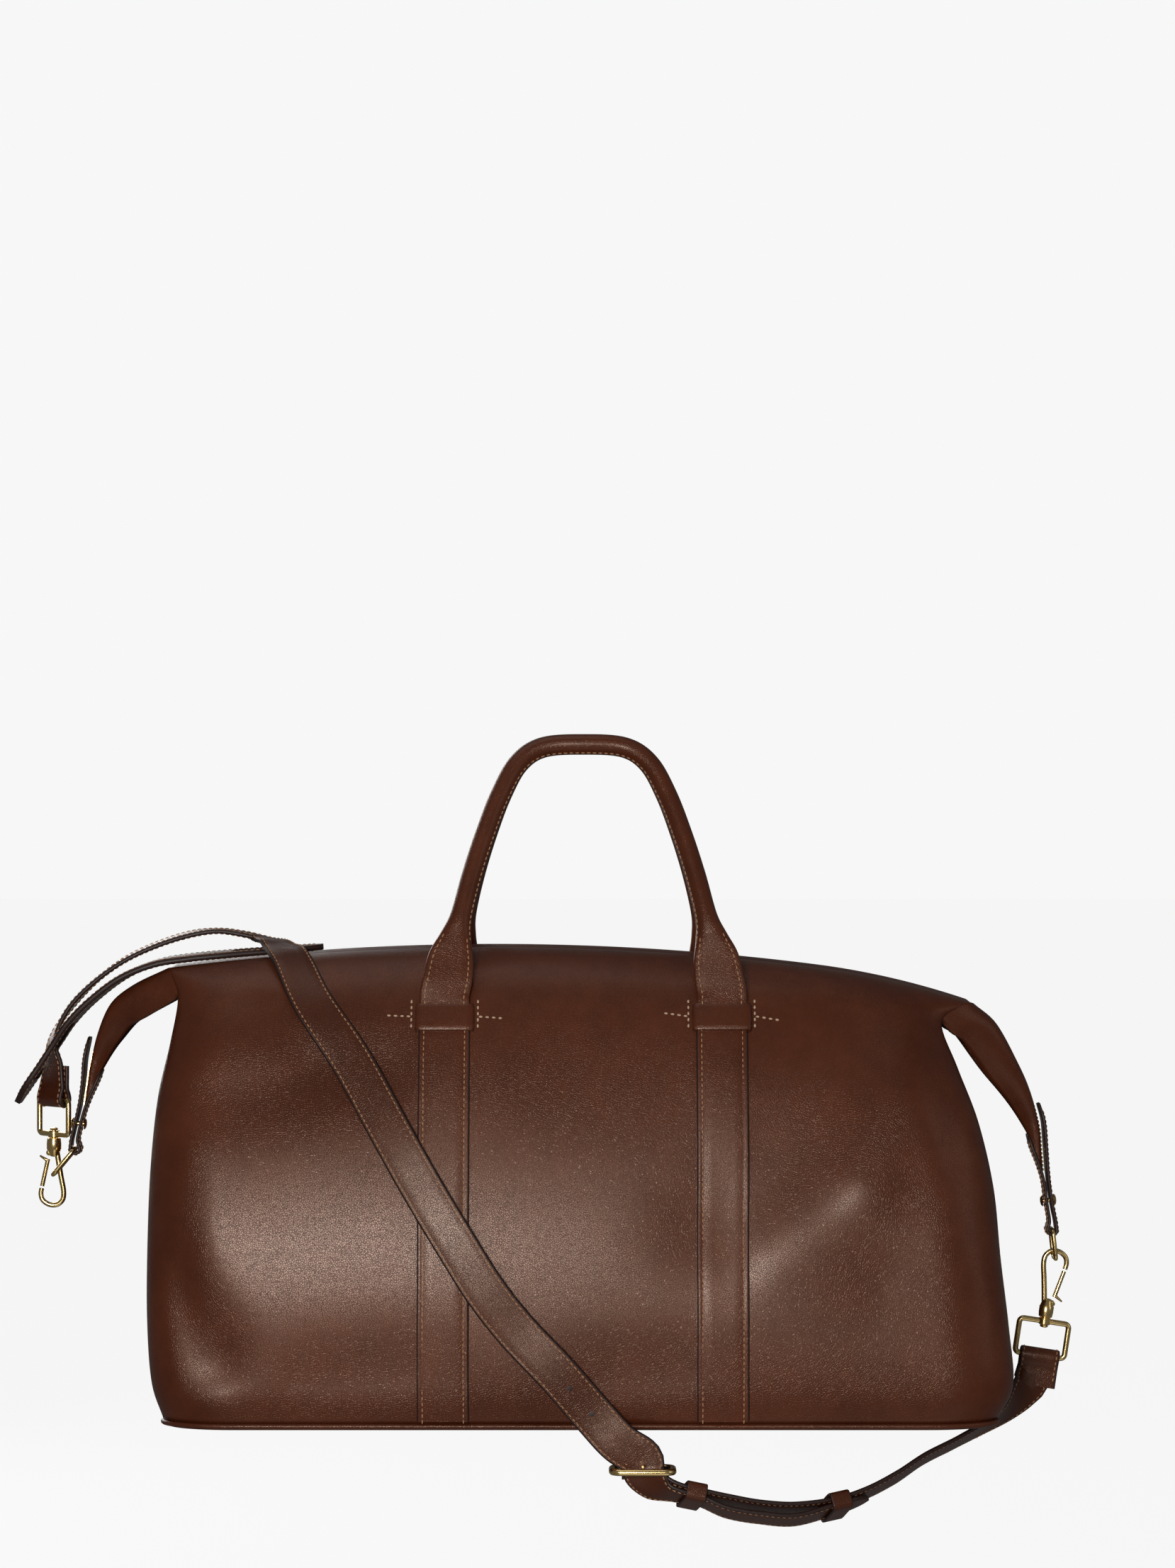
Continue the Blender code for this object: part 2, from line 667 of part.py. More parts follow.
# Rings, swivel hooks and gates --------------------------------------------------------------------

RING_WIDE, RING_DEEP = 0.0322, 0.0225    # between wire centres
BOSS_RADIUS, BOSS_HIGH = 0.0038, 0.0046
POST_RADIUS = 0.0013


def fitting_frame(bar, axis, across):
    """Matrix of a ring and hook: x across the ring, z along the hook, from the ring's swivel bar."""
    z = Vector(axis).normalized()
    x = (Vector(across) - z * Vector(across).dot(z)).normalized()
    y = z.cross(x)
    frame = Matrix((x, y, z)).transposed().to_4x4()
    frame.translation = Vector(bar)
    return frame


RIGHT_FITTING = fitting_frame((0.2967, 0.0, -0.3745), (0.150, 0.0, 0.989), (1, 0, 0))
LEFT_FITTING = fitting_frame((-0.3462, -0.001, -0.2530), (0.0, 0.0, -1.0), (0.66, -0.75, 0))
LEFT_HOOK_FITTING = fitting_frame((-0.3462, -0.001, -0.2530), (0.0, 0.0, -1.0), (-1, 0, 0))


def boolean(made, tool, operation):
    cut = made.modifiers.new(operation.lower(), "BOOLEAN")
    cut.object = tool
    cut.operation = operation
    cut.solver = "EXACT"
    tool.hide_render = True
    tool.display_type = "WIRE"


def make_ring(name, frame):
    radius = 0.0028
    wire = []
    for sx, sz, start in ((-1, 0, 90), (-1, -1, 180), (1, -1, 270), (1, 0, 0)):
        cx = sx * (RING_WIDE / 2 - radius)
        cz = -radius if sz == 0 else -RING_DEEP + radius
        for i in range(4):
            a = math.radians(start + 30 * i)
            wire.append(frame @ Vector((cx + radius * math.cos(a), 0, cz + radius * math.sin(a))))
    across = frame.to_3x3() @ Vector((0, 1, 0))
    ring = tube(name, wire, WIRE + 0.0001, 8, brass(name), True, across)
    axis = frame.to_3x3() @ Vector((0, 0, 1))
    start = frame @ Vector((0, 0, -BOSS_HIGH / 2))
    boss = turned(name + "_boss", [(0, BOSS_RADIUS), (BOSS_HIGH, BOSS_RADIUS)], start, axis, 14,
                  brass(name + "_boss"))
    bore = turned(name + "_bore", [(-0.01, POST_RADIUS + GAP), (0.015, POST_RADIUS + GAP)], start, axis,
                  14, brass(name + "_bore"))
    boolean(ring, boss, "UNION")
    boolean(ring, bore, "DIFFERENCE")


# Hook wire in its own plane: x across, z along the hook from the ring's bar.
HOOK_WIRE = [(-0.0020, 0.0120), (-0.0030, 0.0185), (-0.0046, 0.0280), (-0.0062, 0.0370), (-0.0056, 0.0425),
             (-0.0020, 0.0458), (0.0030, 0.0458), (0.0072, 0.0430), (0.0085, 0.0390), (0.0080, 0.0352)]
GATE_TIP, GATE_FOOT = (0.0077, 0.0338), (0.0039, 0.0163)


def make_hook(name, frame):
    post = [(-BOSS_HIGH / 2 - 0.0018, 0.0016), (-BOSS_HIGH / 2 - 0.0014, 0.0026),
            (-BOSS_HIGH / 2 - GAP, 0.0026), (-BOSS_HIGH / 2 - GAP, POST_RADIUS),
            (BOSS_HIGH / 2 + GAP, POST_RADIUS), (BOSS_HIGH / 2 + GAP, 0.0040), (0.0060, 0.0046),
            (0.0100, 0.0046), (0.0130, 0.0036), (0.0145, 0.0020)]
    axis = frame.to_3x3() @ Vector((0, 0, 1))
    hook = turned(name, post, frame.translation, axis, 14, brass(name))
    path = curve_through([frame @ Vector((x, 0, z)) for x, z in HOOK_WIRE], 16)
    eye = tube(name + "_eye", path, WIRE, 6, brass(name + "_eye"), False,
               frame.to_3x3() @ Vector((0, 1, 0)))
    ear = turned(name + "_ear", [(-0.0022, 0.0019), (0.0022, 0.0019)],
                 frame @ Vector((0.0030, 0, 0.0120)), frame.to_3x3() @ Vector((0, 1, 0)), 12,
                 brass(name + "_ear"))
    boolean(hook, eye, "UNION")
    boolean(hook, ear, "UNION")
    pivot_at(hook, frame.translation)


def make_gate(name, frame):
    foot, tip = Vector((GATE_FOOT[0], 0, GATE_FOOT[1])), Vector((GATE_TIP[0], 0, GATE_TIP[1]))
    path = [frame @ foot.lerp(tip, i / 4) for i in range(5)]
    gate = tube(name, path, WIRE - 0.0002, 8, brass(name), False, frame.to_3x3() @ Vector((0, 1, 0)))
    pivot_at(gate, frame @ foot)


# Shoulder strap -------------------------------------------------------------------------------------

SLOT_HALF = 0.0024           # half the width of a punched hole


def ribbon(name, stations, width, finish, holes=()):
    """A flat strap: stations are x, y, z and the direction of its width; holes are station spans."""
    verts, faces = [], []
    for row in stations:
        place, across = Vector(row[:3]), Vector(row[3:6]).normalized()
        for share in (-width / 2, -SLOT_HALF, SLOT_HALF, width / 2):
            verts.append(place + across * share)
    for r in range(len(stations) - 1):
        for c in range(3):
            if c == 1 and any(low <= r < high for low, high in holes):
                continue
            faces.append((r * 4 + c, r * 4 + c + 1, (r + 1) * 4 + c + 1, (r + 1) * 4 + c))
    return thicken(name, verts, faces, finish, STRAP_THICK, even=False)


def fold_round(bar, toward, across, leg):
    """Route of a strap's end folded round a bar, from its short leg to its long one."""
    centre, d = Vector(bar), Vector(toward).normalized()
    w = (Vector(across) - d * Vector(across).dot(d)).normalized()
    n = d.cross(w)
    r, half = WIRE + 0.0006 + STRAP_THICK / 2, STRAP_THICK / 2 + 0.0004
    flat = [(leg, -half), (leg * 0.7, -half), (0.0075, -half), (0.0035, -r * 0.85), (0.0, -r),
            (-r * 0.7, -r * 0.7), (-r, 0.0), (-r * 0.7, r * 0.7), (0.0, r), (0.0035, r * 0.85),
            (0.0075, half), (0.0120, half)]
    return [tuple(centre + d * u + n * v) + tuple(w) for u, v in flat]


def wall_y(x, z):
    """Depth of the front wall's outside at x and height z."""
    rows = wall_rows()
    points = [wall_point(row, x, row[0]) for row in rows]
    for a, b in zip(points, points[1:]):
        if a.z <= z <= b.z:
            return a.y + (b.y - a.y) * (z - a.z) / (b.z - a.z)
    return points[0].y


STRAP_LIFT = 0.0062          # strap's middle in front of the wall, over the band
# Long strap from over the left wing to the front wall: place and direction of its width.
OVER_WING = [
    (-0.3465, -0.0010, -0.2080, -0.50, 0.87, 0.0),
    (-0.3472, -0.0010, -0.1960, -0.30, 0.95, 0.0),
    (-0.3430, -0.0020, -0.1830, -0.12, 0.99, 0.0),
    (-0.3330, -0.0030, -0.1680, 0.0, 1.0, 0.0),
    (-0.3180, -0.0040, -0.1530, 0.0, 1.0, 0.03),
    (-0.2990, -0.0050, -0.1395, 0.0, 1.0, 0.05),
    (-0.2785, -0.0050, -0.1300, 0.0, 1.0, 0.05),
    (-0.2580, -0.0050, -0.1235, 0.0, 1.0, 0.05),
    (-0.2400, -0.0050, -0.1212, 0.0, 1.0, 0.0),
    (-0.2240, -0.0050, -0.1230, 0.04, 1.0, 0.0),
    (-0.2100, -0.0065, -0.1262, 0.10, 0.99, 0.0),
    (-0.1990, -0.0240, -0.1290, 0.34, 0.93, 0.06),
    (-0.1890, -0.0500, -0.1378, 0.56, 0.70, 0.34),
]
# Down the front wall: x and z of its middle.
DOWN_FRONT = [(-0.1745, -0.1640), (-0.1490, -0.2005), (-0.1242, -0.2434), (-0.1044, -0.2776),
              (-0.0846, -0.3100), (-0.0644, -0.3419), (-0.0446, -0.3671), (-0.0198, -0.3932),
              (0.0027, -0.4193), (0.0190, -0.4370)]
# Stack of the two straps from the buckle to the right end: middle and direction of width.
STACK = [
    (0.0365, -0.1180, -0.4590, 0.98, -0.15, 0.10),
    (0.0440, -0.1175, -0.4650, 0.75, -0.60, 0.30),
    (0.0560, -0.1165, -0.4690, 0.25, -0.90, 0.36),
    (0.0700, -0.1150, -0.4722, 0.0, -0.93, 0.37),
    (0.0880, -0.1125, -0.4765, 0.0, -0.93, 0.37),
    (0.1080, -0.1095, -0.4805, 0.0, -0.93, 0.37),
    (0.1300, -0.1045, -0.4825, 0.0, -0.93, 0.37),
    (0.1550, -0.0975, -0.4805, 0.0, -0.93, 0.37),
    (0.1760, -0.0900, -0.4750, 0.0, -0.93, 0.37),
    (0.1960, -0.0795, -0.4665, 0.0, -0.93, 0.37),
    (0.2150, -0.0660, -0.4565, 0.0, -0.94, 0.34),
]
TO_RIGHT_RING = [
    (0.2345, -0.0500, -0.4470, -0.05, -0.95, 0.30),
    (0.2520, -0.0340, -0.4400, -0.15, -0.95, 0.25),
    (0.2680, -0.0180, -0.4320, -0.35, -0.90, 0.20),
    (0.2810, -0.0070, -0.4210, -0.70, -0.68, 0.20),
    (0.2890, -0.0020, -0.4120, -0.93, -0.30, 0.17),
]
STACK_SPACE = 0.0019         # from the stack's middle to the middle of each strap
BUCKLE_CENTRE = (0.0344, -0.1220, -0.4543)
BUCKLE_WIDE, BUCKLE_DEEP = 0.0380, 0.0240
BUCKLE_WIRE = 0.0021
KEEPER_STATIONS = {"sewn_keeper": 0.0650, "loose_keeper": 0.1560}


def stack_at(shift, bulge=0.0):
    """The stack's route moved to the outer (+) or inner (-) side by shift, with a slack bulge."""
    rows = []
    for i, row in enumerate(STACK):
        before, after = STACK[max(i - 1, 0)], STACK[min(i + 1, len(STACK) - 1)]
        along = (Vector(after[:3]) - Vector(before[:3])).normalized()
        across = Vector(row[3:6]).normalized()
        out = along.cross(across).normalized()
        slack = bulge if 0.085 < row[0] < 0.135 else 0.0
        rows.append(tuple(Vector(row[:3]) + out * (shift + slack)) + tuple(across))
    return rows


def make_straps():
    ring_bar = LEFT_FITTING @ Vector((0, 0, -RING_DEEP))
    across = LEFT_FITTING.to_3x3() @ Vector((-1, 0, 0))
    fold = fold_round(ring_bar, (0, 0, 1), across, 0.022)
    front = []
    for i, (x, z) in enumerate(DOWN_FRONT):
        x0, z0 = DOWN_FRONT[max(i - 1, 0)]
        x1, z1 = DOWN_FRONT[min(i + 1, len(DOWN_FRONT) - 1)]
        along = Vector((x1 - x0, 0, z1 - z0)).normalized()
        twist = 0.45 if i == 0 else 0.12 if i == 1 else 0.0
        y = min(wall_y(x, z), -0.1165 if z < -0.425 else 0.0) - STRAP_LIFT
        front.append((x, y, z, -along.z, twist, along.x))
    through = [(0.0338, -0.1215, -0.4470, 0.99, -0.02, 0.08),
               (0.0352, -0.1212, -0.4560, 0.99, -0.12, 0.10)]
    tail = stack_at(STACK_SPACE, 0.0035)[1:9]
    route = fold[-2:] + OVER_WING + front + through + tail
    main = curve_through(route, 72)
    stations = curve_through(fold[:-1], 22) + main[2:]
    buckle_hole = min(range(len(stations)),
                      key=lambda i: (Vector(stations[i][:3]) - Vector((0.0344, -0.1212, -0.4512))).length)
    ribbon("strap_long", stations, STRAP_WIDTH, dark_leather("strap_long"),
           holes=[(buckle_hole - 1, buckle_hole + 2)])

    bar = Vector(BUCKLE_CENTRE) + Vector((0, BUCKLE_DEEP / 2, 0))
    r = BUCKLE_WIRE + 0.0006 + STRAP_THICK / 2
    first = [(bar.x, bar.y + 0.0030, bar.z - 0.0080), (bar.x, bar.y + r, bar.z - 0.0020),
             (bar.x, bar.y + r * 0.8, bar.z + r * 0.6), (bar.x, bar.y, bar.z + r),
             (bar.x, bar.y - r * 0.8, bar.z + r * 0.6), (bar.x + 0.0003, bar.y - r, bar.z - 0.0005),
             (bar.x + 0.0010, bar.y - r - 0.0002, bar.z - 0.0030)]
    turn = [p + (1.0, 0.0, 0.0) for p in first]
    inner = stack_at(-STACK_SPACE)[1:]
    ring_end = RIGHT_FITTING @ Vector((0, 0, -RING_DEEP))
    end = fold_round(ring_end, RIGHT_FITTING.to_3x3() @ Vector((0, 0, -1)),
                     RIGHT_FITTING.to_3x3() @ Vector((-1, 0, 0)), 0.020)
    main = curve_through(turn[-2:] + inner + TO_RIGHT_RING + list(reversed(end))[:2], 40)
    start = curve_through(turn, 16)
    finish = curve_through(list(reversed(end))[1:], 22)
    stations = start[:-1] + main[3:-3] + finish
    ribbon("strap_short", stations, STRAP_WIDTH - 0.0006, dark_leather("strap_short"),
           holes=[(2, 16)])


def make_strap_keeper(name, at_x):
    rows = curve_through(STACK, 80)
    k = min(range(len(rows)), key=lambda i: abs(rows[i][0] - at_x))
    place, across = Vector(rows[k][:3]), Vector(rows[k][3:6]).normalized()
    along = (Vector(rows[k + 2][:3]) - Vector(rows[k - 2][:3])).normalized()
    across = (across - along * across.dot(along)).normalized()
    out = along.cross(across)
    inner_u, inner_v = STRAP_WIDTH / 2 + 0.0018, STACK_SPACE + STRAP_THICK / 2 + 0.0012
    wall, half = 0.0018, 0.0065
    outline = []
    for grow, order in ((wall, 1), (0.0, -1)):
        u, v = inner_u + grow, inner_v + grow
        outline.append([(-u, -v), (u, -v), (u, v), (-u, v)][::order])
    verts, faces = [], []
    for loop in (outline[0], list(reversed(outline[1]))):
        for shift in (-half, half):
            verts += [place + along * shift + across * u + out * v for u, v in loop]
    for i in range(4):
        j = (i + 1) % 4
        faces += [(i, j, 4 + j, 4 + i), (8 + i, 12 + i, 12 + j, 8 + j),
                  (i, 8 + i, 8 + j, j), (4 + i, 4 + j, 12 + j, 12 + i)]
    made = add_object(name, verts, faces, dark_leather(name), 30.0)
    pivot_at(made, place)


def make_buckle():
    cx, cy, cz = BUCKLE_CENTRE
    radius = 0.0055
    path = []
    for sx, sy, start in ((1, -1, 270), (1, 1, 0), (-1, 1, 90), (-1, -1, 180)):
        ox, oy = cx + sx * (BUCKLE_WIDE / 2 - radius), cy + sy * (BUCKLE_DEEP / 2 - radius)
        for i in range(5):
            a = math.radians(start + 22.5 * i)
            path.append(Vector((ox + radius * math.cos(a), oy + radius * math.sin(a), cz)))
    tube("buckle_frame", path, BUCKLE_WIRE, 10, brass("buckle_frame"), True, Vector((0, 0, 1)))
    bar_y = cy + BUCKLE_DEEP / 2
    loop = BUCKLE_WIRE + 0.0003 + 0.0011
    path = [Vector((cx, bar_y + loop * math.cos(math.radians(a)), cz + loop * math.sin(math.radians(a))))
            for a in range(-130, 131, 20)]
    tip = Vector((cx, cy - BUCKLE_DEEP / 2 - 0.0012, cz + BUCKLE_WIRE + 0.0016))
    path += [path[-1].lerp(tip, s) for s in (0.25, 0.5, 0.75, 1.0)]
    prong = tube("buckle_prong", path, 0.0011, 8, brass("buckle_prong"), False, Vector((1, 0, 0)))
    pivot_at(prong, (cx, bar_y, cz))


# Shoulder pad: x, z of its middle, half width.
PAD = [
    (-0.3690, -0.2320, 0.0090), (-0.3625, -0.2212, 0.0215), (-0.3530, -0.2075, 0.0240),
    (-0.3440, -0.1938, 0.0255), (-0.3350, -0.1806, 0.0280), (-0.3210, -0.1662, 0.0300),
    (-0.3010, -0.1512, 0.0320), (-0.2790, -0.1422, 0.0330), (-0.2570, -0.1386, 0.0320),
    (-0.2370, -0.1366, 0.0300), (-0.2210, -0.1352, 0.0270), (-0.2050, -0.1340, 0.0240),
    (-0.1900, -0.1328, 0.0200), (-0.1780, -0.1319, 0.0140), (-0.1715, -0.1314, 0.0070),
]
PAD_THICK = 0.0036
PAD_SLOT_HALF = 0.0188


def make_pad():
    rows = curve_through([(x, -0.004, z, half) for x, z, half in PAD], 30)
    verts, faces = [], []
    for row in rows:
        half = row[3]
        inner = min(PAD_SLOT_HALF, half * 0.72)
        verts += [Vector((row[0], row[1] + y, row[2])) for y in (-half, -inner, inner, half)]
    for r in range(len(rows) - 1):
        middle_x = (rows[r][0] + rows[r + 1][0]) / 2
        slot = -0.2310 < middle_x < -0.1930 or -0.3610 < middle_x < -0.3340
        for c in range(3):
            if c == 1 and slot:
                continue
            faces.append((r * 4 + c, r * 4 + c + 1, (r + 1) * 4 + c + 1, (r + 1) * 4 + c))
    return thicken("shoulder_pad", verts, faces, dark_leather("shoulder_pad"), PAD_THICK, even=False)


# Zip slider -----------------------------------------------------------------------------------------

SLIDER_X = 0.1500
SLIDER_CLEAR = 0.0016        # from the folds' edge up to the slider's underside
SLIDER_HALF, SLIDER_NOSE = 0.0045, 0.0065
SLIDER_THICK, PULL_THICK = 0.0016, 0.0014
# Half outline of the pull, from its hinge to its tip: x from the hinge, half width.
PULL_OUTLINE = [(0.0, 0.0022), (0.0080, 0.0030), (0.0260, 0.0038), (0.0290, 0.0022)]


def make_slider():
    """The slider over the chain and its pull; both lie along the slope of the arch."""
    bottom = wall_point(wall_rows()[-1], SLIDER_X, 0).z + SLIDER_CLEAR
    place = Vector((SLIDER_X, 0, bottom))
    turn = Matrix.Rotation(math.atan((SLIDER_X - TOP_PEAK_X) / TOP_ARCH), 4, "Y")
    side = [(-SLIDER_NOSE, 0.0030), (0.0040, SLIDER_HALF), (SLIDER_NOSE, SLIDER_HALF * 0.6)]
    outline = [Vector((x, -y, 0)) for x, y in side] + [Vector((x, y, 0)) for x, y in reversed(side)]
    slider = plate("zip_slider", outline, 0.0, SLIDER_THICK, brass("zip_slider"))
    slider.data.transform(turn)
    slider.location = place
    outline = ([Vector((x, -y, 0)) for x, y in PULL_OUTLINE]
               + [Vector((x, y, 0)) for x, y in reversed(PULL_OUTLINE)])
    pull = plate("zip_pull", outline, -PULL_THICK / 2, PULL_THICK / 2, brass("zip_pull"))
    pull.data.transform(turn)
    pull.location = place + turn @ Vector((-0.0020, 0, SLIDER_THICK + GAP + PULL_THICK / 2))


def main():
    clear_scene()
    make_panel("front_panel", 1)
    make_panel("rear_panel", -1)
    make_end_panel("left_end_panel", False)
    make_end_panel("right_end_panel", True)
    make_base()
    make_lining()
    make_zip()
    make_slider()
    for side, side_name in ((1, "front"), (-1, "rear")):
        for x, x_name in zip(BAND_X, ("left", "right")):
            make_band(f"{side_name}_{x_name}_band", x, side)
            make_keeper(f"{side_name}_{x_name}_keeper", x, side)
        make_handle(f"{side_name}_handle", side)
    make_tab("right_tab", TAB_RIGHT_OUTER, TAB_RIGHT_FOLD, TAB_RIGHT_INNER, (0.2990, -0.2960))
    make_tab("left_tab", TAB_LEFT_OUTER, TAB_LEFT_FOLD, TAB_LEFT_INNER, (-0.3300, -0.2460))
    make_rivet("right_tab_rivet", (0.2990, 0.0, -0.2960), (1, 0, 0.10), 0.0072)
    make_rivet("left_tab_rivet", (-0.3302, 0.0, -0.2462), (1, 0, -0.10), 0.0072)
    make_link("right_link", TAB_RIGHT_FOLD, (0.3033, -0.3335))
    make_link("left_link", TAB_LEFT_FOLD, (-0.3462, -0.2790))
    for side_name, frame, hook_frame in (("right", RIGHT_FITTING, RIGHT_FITTING),
                                         ("left", LEFT_FITTING, LEFT_HOOK_FITTING)):
        make_ring(f"{side_name}_ring", frame)
        make_hook(f"{side_name}_hook", hook_frame)
        make_gate(f"{side_name}_gate", hook_frame)
    make_straps()
    for name, at_x in KEEPER_STATIONS.items():
        make_strap_keeper(name, at_x)
    make_buckle()
    make_pad()


main()
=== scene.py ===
import json
import math

import bmesh
import bpy
from mathutils import Matrix, Vector

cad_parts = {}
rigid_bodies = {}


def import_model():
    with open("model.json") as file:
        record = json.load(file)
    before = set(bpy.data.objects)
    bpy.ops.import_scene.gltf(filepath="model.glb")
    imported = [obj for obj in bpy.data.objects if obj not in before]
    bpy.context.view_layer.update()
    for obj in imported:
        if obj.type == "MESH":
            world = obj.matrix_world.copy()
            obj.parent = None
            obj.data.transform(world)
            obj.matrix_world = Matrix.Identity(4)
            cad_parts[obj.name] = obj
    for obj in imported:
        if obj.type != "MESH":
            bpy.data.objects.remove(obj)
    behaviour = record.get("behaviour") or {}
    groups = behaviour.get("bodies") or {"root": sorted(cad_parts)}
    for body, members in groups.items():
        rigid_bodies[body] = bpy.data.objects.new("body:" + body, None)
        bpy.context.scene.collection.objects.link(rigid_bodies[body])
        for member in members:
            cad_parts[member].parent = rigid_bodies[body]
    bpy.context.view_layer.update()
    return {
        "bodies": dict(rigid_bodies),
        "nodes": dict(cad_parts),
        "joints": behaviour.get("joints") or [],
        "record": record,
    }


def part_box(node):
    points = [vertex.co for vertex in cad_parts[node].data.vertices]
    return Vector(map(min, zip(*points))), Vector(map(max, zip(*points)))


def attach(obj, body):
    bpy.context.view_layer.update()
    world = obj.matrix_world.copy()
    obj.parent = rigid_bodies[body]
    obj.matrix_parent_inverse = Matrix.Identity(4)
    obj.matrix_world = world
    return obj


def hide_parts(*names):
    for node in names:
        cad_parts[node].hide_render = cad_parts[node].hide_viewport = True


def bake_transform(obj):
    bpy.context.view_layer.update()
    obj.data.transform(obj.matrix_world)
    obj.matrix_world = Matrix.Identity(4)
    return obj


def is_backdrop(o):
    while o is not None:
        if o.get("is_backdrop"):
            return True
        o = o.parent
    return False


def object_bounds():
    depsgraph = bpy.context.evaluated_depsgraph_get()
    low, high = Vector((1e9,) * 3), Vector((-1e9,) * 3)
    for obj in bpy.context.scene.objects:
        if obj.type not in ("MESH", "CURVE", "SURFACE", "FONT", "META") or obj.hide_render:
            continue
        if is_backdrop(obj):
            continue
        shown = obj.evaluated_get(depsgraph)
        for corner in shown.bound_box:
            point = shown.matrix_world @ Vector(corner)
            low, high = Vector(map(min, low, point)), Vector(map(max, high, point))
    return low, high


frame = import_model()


# Camera and light -------------------------------------------------------------------------------
# The bag hangs from its handles, seen straight on from the front, with a little less than its own
# height of air above the grip, over a pale floor. One soft light stands left of the camera.
VIEW_DISTANCE = 3.20
VIEW_HEIGHT = -0.026
LENS = 113.2
BAG_MIDDLE = (0.0, 0.0, -0.28)
FLOOR_Z, FLOOR_HALF = -0.80, 30.0

camera_data = bpy.data.cameras.new("camera")
camera_data.lens = LENS
camera_data.sensor_fit = "AUTO"
camera = bpy.data.objects.new("camera", camera_data)
camera.location = (0.0, -VIEW_DISTANCE, VIEW_HEIGHT)
camera.rotation_euler = (math.radians(90), 0.0, 0.0)
bpy.context.scene.collection.objects.link(camera)
bpy.context.scene.camera = camera


def add_light(name, place, size, power, colour=(1.0, 1.0, 1.0)):
    """A rectangular lamp of a given width and height, turned towards the middle of the bag."""
    data = bpy.data.lights.new(name, "AREA")
    data.shape = "RECTANGLE"
    data.size, data.size_y = size
    data.energy = power
    data.color = colour
    lamp = bpy.data.objects.new(name, data)
    lamp.location = place
    lamp.rotation_euler = (Vector(BAG_MIDDLE) - Vector(place)).to_track_quat("-Z", "Y").to_euler()
    bpy.context.scene.collection.objects.link(lamp)


add_light("key", (-0.36, -2.60, -0.02), (0.56, 0.46), 36.0, (1.0, 0.97, 0.93))
add_light("fill_right", (2.4, -1.4, 0.5), (1.0, 1.6), 4.0)
add_light("over", (-0.4, -0.2, 2.0), (1.4, 1.2), 5.0)
add_light("behind", (-1.2, 2.2, 0.6), (1.5, 1.5), 22.0)
add_light("below", (0.3, -1.0, -2.0), (1.6, 1.2), 3.0)

world = bpy.data.worlds.new("studio")
world.use_nodes = True
bpy.context.scene.world = world
room = world.node_tree.nodes["Background"]
room.inputs["Color"].default_value = (0.93, 0.93, 0.93, 1.0)
room.inputs["Strength"].default_value = 0.11
backdrop = world.node_tree.nodes.new("ShaderNodeBackground")
backdrop.inputs["Color"].default_value = (0.93, 0.93, 0.93, 1.0)
backdrop.inputs["Strength"].default_value = 1.0
seen = world.node_tree.nodes.new("ShaderNodeLightPath")
choose = world.node_tree.nodes.new("ShaderNodeMixShader")
world.node_tree.links.new(seen.outputs["Is Camera Ray"], choose.inputs[0])
world.node_tree.links.new(room.outputs[0], choose.inputs[1])
world.node_tree.links.new(backdrop.outputs[0], choose.inputs[2])
world.node_tree.links.new(choose.outputs[0], world.node_tree.nodes["World Output"].inputs["Surface"])
bpy.context.scene.view_settings.view_transform = "Standard"

floor_finish = bpy.data.materials.new("floor_finish")
floor_finish.use_nodes = True
paper = floor_finish.node_tree.nodes["Principled BSDF"]
paper.inputs["Base Color"].default_value = (0.06, 0.06, 0.06, 1.0)
paper.inputs["Roughness"].default_value = 1.0
paper.inputs["Specular IOR Level"].default_value = 0.0
paper.inputs["Emission Color"].default_value = (0.93, 0.93, 0.93, 1.0)
paper.inputs["Emission Strength"].default_value = 0.975
floor_mesh = bpy.data.meshes.new("floor")
floor_mesh.from_pydata([(-FLOOR_HALF, -FLOOR_HALF, FLOOR_Z), (FLOOR_HALF, -FLOOR_HALF, FLOOR_Z),
                        (FLOOR_HALF, FLOOR_HALF, FLOOR_Z), (-FLOOR_HALF, FLOOR_HALF, FLOOR_Z)],
                       [], [(0, 1, 2, 3)])
floor_mesh.materials.append(floor_finish)
floor = bpy.data.objects.new("floor", floor_mesh)
# It is seen by the camera alone, so that its pale light doesn't fall on the bag.
floor.visible_diffuse = floor.visible_glossy = floor.visible_shadow = False
bpy.context.scene.collection.objects.link(floor)
floor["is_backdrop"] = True


# Leather ----------------------------------------------------------------------------------------
# Vegetable-tanned calf, dyed reddish brown and burnished to a soft gloss: a fine pebbled grain,
# slightly uneven colour, cut edges painted nearly black. Every leather piece is cut from it.
class Amount:
    """A number inside a material; sums and products of amounts add their Math nodes."""

    def __init__(self, finish, socket):
        self.finish = finish
        self.socket = socket

    def join(self, operation, first, second):
        return self.finish.amount("ShaderNodeMath", {"operation": operation}, {0: first, 1: second})

    def __add__(self, other):
        return self.join("ADD", self, other)

    def __radd__(self, other):
        return self.join("ADD", other, self)

    def __sub__(self, other):
        return self.join("SUBTRACT", self, other)

    def __rsub__(self, other):
        return self.join("SUBTRACT", other, self)

    def __mul__(self, other):
        return self.join("MULTIPLY", self, other)

    def __rmul__(self, other):
        return self.join("MULTIPLY", other, self)

    def __pow__(self, other):
        return self.join("POWER", self, other)


